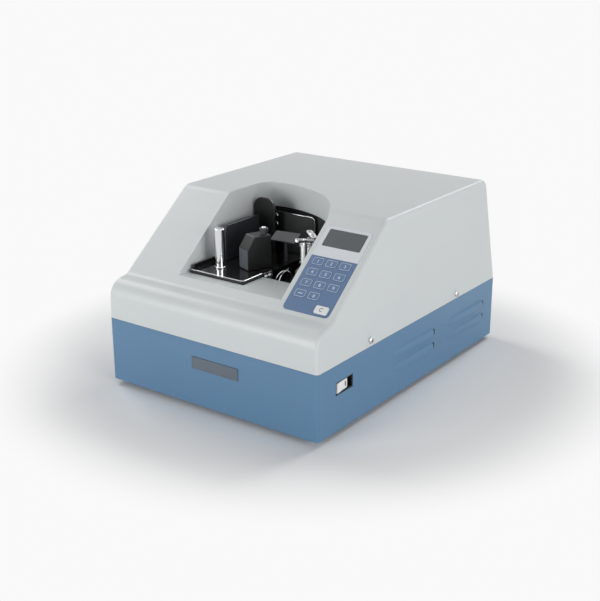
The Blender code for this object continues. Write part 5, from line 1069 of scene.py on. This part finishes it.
class COUNTER_OT_spindle_head(bpy.types.Operator):
    """Finish the turning head: the disc, the shaft, the housing, and the spindles, with dark discs painted as
    the shade inside their suction holes
    """

    bl_idname = "counter.spindle_head"
    bl_label = "Spindle head"

    def execute(self, context):
        made = finishes()
        dressed("turret_disc", made["turned_head"], SHARP_ROUND, FINE_EDGE)
        dressed("head_shaft", made["chrome"], SHARP_ROUND, SMALL_EDGE)
        dressed("bearing_housing", made["turned_head"], SHARP_ROUND)
        dressed("head_pulley", made["turned_head"], SHARP_ROUND)
        for index in range(SPINDLES):
            node = f"spindle_{index + 1}"
            body = BODY[node]
            dressed(node, made["satin"], SHARP_SOFT)
            angle = radians(SPINDLE_START + 360 / SPINDLES * index)
            axis = HEAD_AXIS + Vector((SPINDLE_ORBIT * cos(angle), SPINDLE_ORBIT * sin(angle), 0))
            turn = radians(NOZZLE_START + 360 / SPINDLES * index)
            tilt = Matrix.Rotation(turn, 4, "Z") @ Matrix.Rotation(NOZZLE_TILT, 4, "Y")
            nozzle = Matrix.Translation(axis + Vector((0, 0, NOZZLE_HEIGHT))) @ tilt
            up = tilt @ Vector((0, 0, 1))
            hole_shades = [(nozzle @ Vector((x, 0, NOZZLE_TOP)), up) for x in SUCTION_SHADES]
            copies(f"{node}_suction_holes", lathe(SUCTION_SHADE, 20), hole_shades, made["hole_shade"], body)
            rings = [(axis + Vector((0, 0, z)), Vector((0, 0, 1))) for z in COLLAR_HEIGHTS]
            copies(f"{node}_collars", lathe(COLLAR, 40), rings, made["chrome"], body)
            seat = [(nozzle @ Vector((0, 0, NOZZLE_TOP)), up)]
            copies(f"{node}_cap_screw", lathe(CAP_SCREW, 32), seat, made["chrome"], body)
        return {"FINISHED"}


class COUNTER_OT_works(bpy.types.Operator):
    """Finish the drive, the vacuum parts and the electronics inside the casing"""

    bl_idname = "counter.works"
    bl_label = "Works"

    def execute(self, context):
        made = finishes()
        dressed("drive_motor", made["turned_motor"], SHARP_ROUND)
        dressed("motor_pulley", made["turned_motor"], SHARP_ROUND)
        dressed("drive_belt", made["rubber"])
        dressed("rotary_union", made["black_abs"])
        dressed("vacuum_hose", made["rubber"], SHARP_SOFT)
        dressed("vacuum_pump", made["cast_pump"])
        dressed("main_board", made["board"])
        dressed("mains_transformer", made["laminations"])
        return {"FINISHED"}


class COUNTER_OT_stage(bpy.types.Operator):
    """Make the pale floor, the soft studio lights and the camera"""

    bl_idname = "counter.stage"
    bl_label = "Stage"

    def execute(self, context):
        make_world(context.scene)
        make_floor()
        for lamp in LAMPS:
            softbox(*lamp)
        make_camera(context.scene)
        context.scene.view_settings.view_transform = "Standard"
        return {"FINISHED"}


def backdrop_share(tree):
    """One where a camera, mirror or glass ray looks, so that the background has its own plain colour there."""
    path = add(tree, "ShaderNodeLightPath")
    seen = add(
        tree,
        "ShaderNodeMath",
        {0: path.outputs["Is Camera Ray"], 1: path.outputs["Is Glossy Ray"]},
        operation="MAXIMUM",
    )
    return add(
        tree,
        "ShaderNodeMath",
        {0: seen.outputs[0], 1: path.outputs["Is Transmission Ray"]},
        operation="MAXIMUM",
    ).outputs[0]


def make_world(scene):
    """A plain pale surround: a soft fill for the object, and the background's own colour where it is seen."""
    world = bpy.data.worlds.new("studio")
    scene.world = world
    world.use_nodes = True
    tree = world.node_tree
    tree.nodes.clear()
    fill = add(tree, "ShaderNodeBackground", {"Color": linear("#FFFFFF"), "Strength": FILL})
    seen = add(tree, "ShaderNodeBackground", {"Color": linear(BACKGROUND), "Strength": 1.0})
    share = backdrop_share(tree)
    choice = add(tree, "ShaderNodeMixShader", {0: share, 1: fill.outputs[0], 2: seen.outputs[0]})
    out = add(tree, "ShaderNodeOutputWorld")
    tree.links.new(choice.outputs[0], out.inputs["Surface"])


def make_floor():
    """A pale floor that keeps the object's shadow and runs out into the plain background."""
    bm = bmesh.new()
    bmesh.ops.create_grid(bm, x_segments=2, y_segments=2, size=FLOOR_HALF)
    floor = from_bmesh("floor", bm, None, Matrix.Translation((0, 0, -FLOOR_DROP)))
    paper = bpy.data.materials.new("studio_paper")
    paper.use_nodes = True
    tree = paper.node_tree
    tree.nodes.clear()
    place = add(tree, "ShaderNodeTexCoord").outputs["Object"]
    far = add(tree, "ShaderNodeVectorMath", {0: place}, operation="LENGTH")
    fade = add(
        tree,
        "ShaderNodeMapRange",
        {"Value": far.outputs["Value"], "From Min": FADE[0], "From Max": FADE[1]},
        interpolation_type="SMOOTHSTEP",
    )
    share = add(tree, "ShaderNodeMath", {0: fade.outputs[0], 1: backdrop_share(tree)}, operation="MULTIPLY")
    lit = add(tree, "ShaderNodeBsdfDiffuse", {"Color": linear("#F4F4F4")})
    plain = add(tree, "ShaderNodeEmission", {"Color": linear(BACKGROUND), "Strength": 1.0})
    choice = add(tree, "ShaderNodeMixShader", {0: share.outputs[0], 1: lit.outputs[0], 2: plain.outputs[0]})
    out = add(tree, "ShaderNodeOutputMaterial")
    tree.links.new(choice.outputs[0], out.inputs["Surface"])
    floor.data.materials.append(paper)


def softbox(name, place, size, power):
    """A square area lamp that faces the middle of the object."""
    lamp = bpy.data.lights.new(name, "AREA")
    lamp.shape = "SQUARE"
    lamp.size = size
    lamp.energy = power
    made = bpy.data.objects.new(name, lamp)
    bpy.context.scene.collection.objects.link(made)
    made.location = place
    aim = LAMP_AIM - Vector(place)
    made.rotation_euler = aim.to_track_quat("-Z", "Y").to_euler()


def make_camera(scene):
    """The photograph's own viewpoint: from the right of the front, a little above."""
    azimuth, elevation, roll = (radians(angle) for angle in CAMERA_ANGLES)
    back = Vector((sin(azimuth) * cos(elevation), -cos(azimuth) * cos(elevation), sin(elevation)))
    right = (-back).cross(Vector((0, 0, 1))).normalized()
    up = right.cross(-back)
    side = right * cos(roll) + up * sin(roll)
    rise = up * cos(roll) - right * sin(roll)
    turn = Matrix((side, rise, back)).transposed().to_4x4()
    lens = bpy.data.cameras.new("camera")
    lens.sensor_width = CAMERA_SENSOR
    lens.lens = CAMERA_LENS
    lens.clip_start = 0.05
    lens.clip_end = 50
    camera = bpy.data.objects.new("camera", lens)
    scene.collection.objects.link(camera)
    camera.matrix_world = Matrix.Translation(CAMERA_PLACE) @ turn
    scene.camera = camera


class COUNTER_PT_panel(bpy.types.Panel):
    """The counter's pieces, in the order in which they are made"""

    bl_idname = "COUNTER_PT_panel"
    bl_label = "Banknote Counter"
    bl_space_type = "VIEW_3D"
    bl_region_type = "UI"
    bl_category = "Counter"

    def draw(self, context):
        for operator in OPERATORS:
            self.layout.operator(operator.bl_idname)


OPERATORS = (
    COUNTER_OT_casing,
    COUNTER_OT_screws,
    COUNTER_OT_console,
    COUNTER_OT_power,
    COUNTER_OT_note_bay,
    COUNTER_OT_press,
    COUNTER_OT_spindle_head,
    COUNTER_OT_works,
    COUNTER_OT_stage,
)
CLASSES = (CounterColours, CounterSizes, *OPERATORS, COUNTER_PT_panel)


def register():
    for made in CLASSES:
        bpy.utils.register_class(made)
    bpy.types.Scene.counter_colours = bpy.props.PointerProperty(type=CounterColours)
    bpy.types.Scene.counter_sizes = bpy.props.PointerProperty(type=CounterSizes)


def unregister():
    del bpy.types.Scene.counter_sizes
    del bpy.types.Scene.counter_colours
    for made in reversed(CLASSES):
        bpy.utils.unregister_class(made)


def main():
    register()
    for operator in OPERATORS:
        group, name = operator.bl_idname.split(".")
        getattr(getattr(bpy.ops, group), name)()


if __name__ == "__main__":
    main()
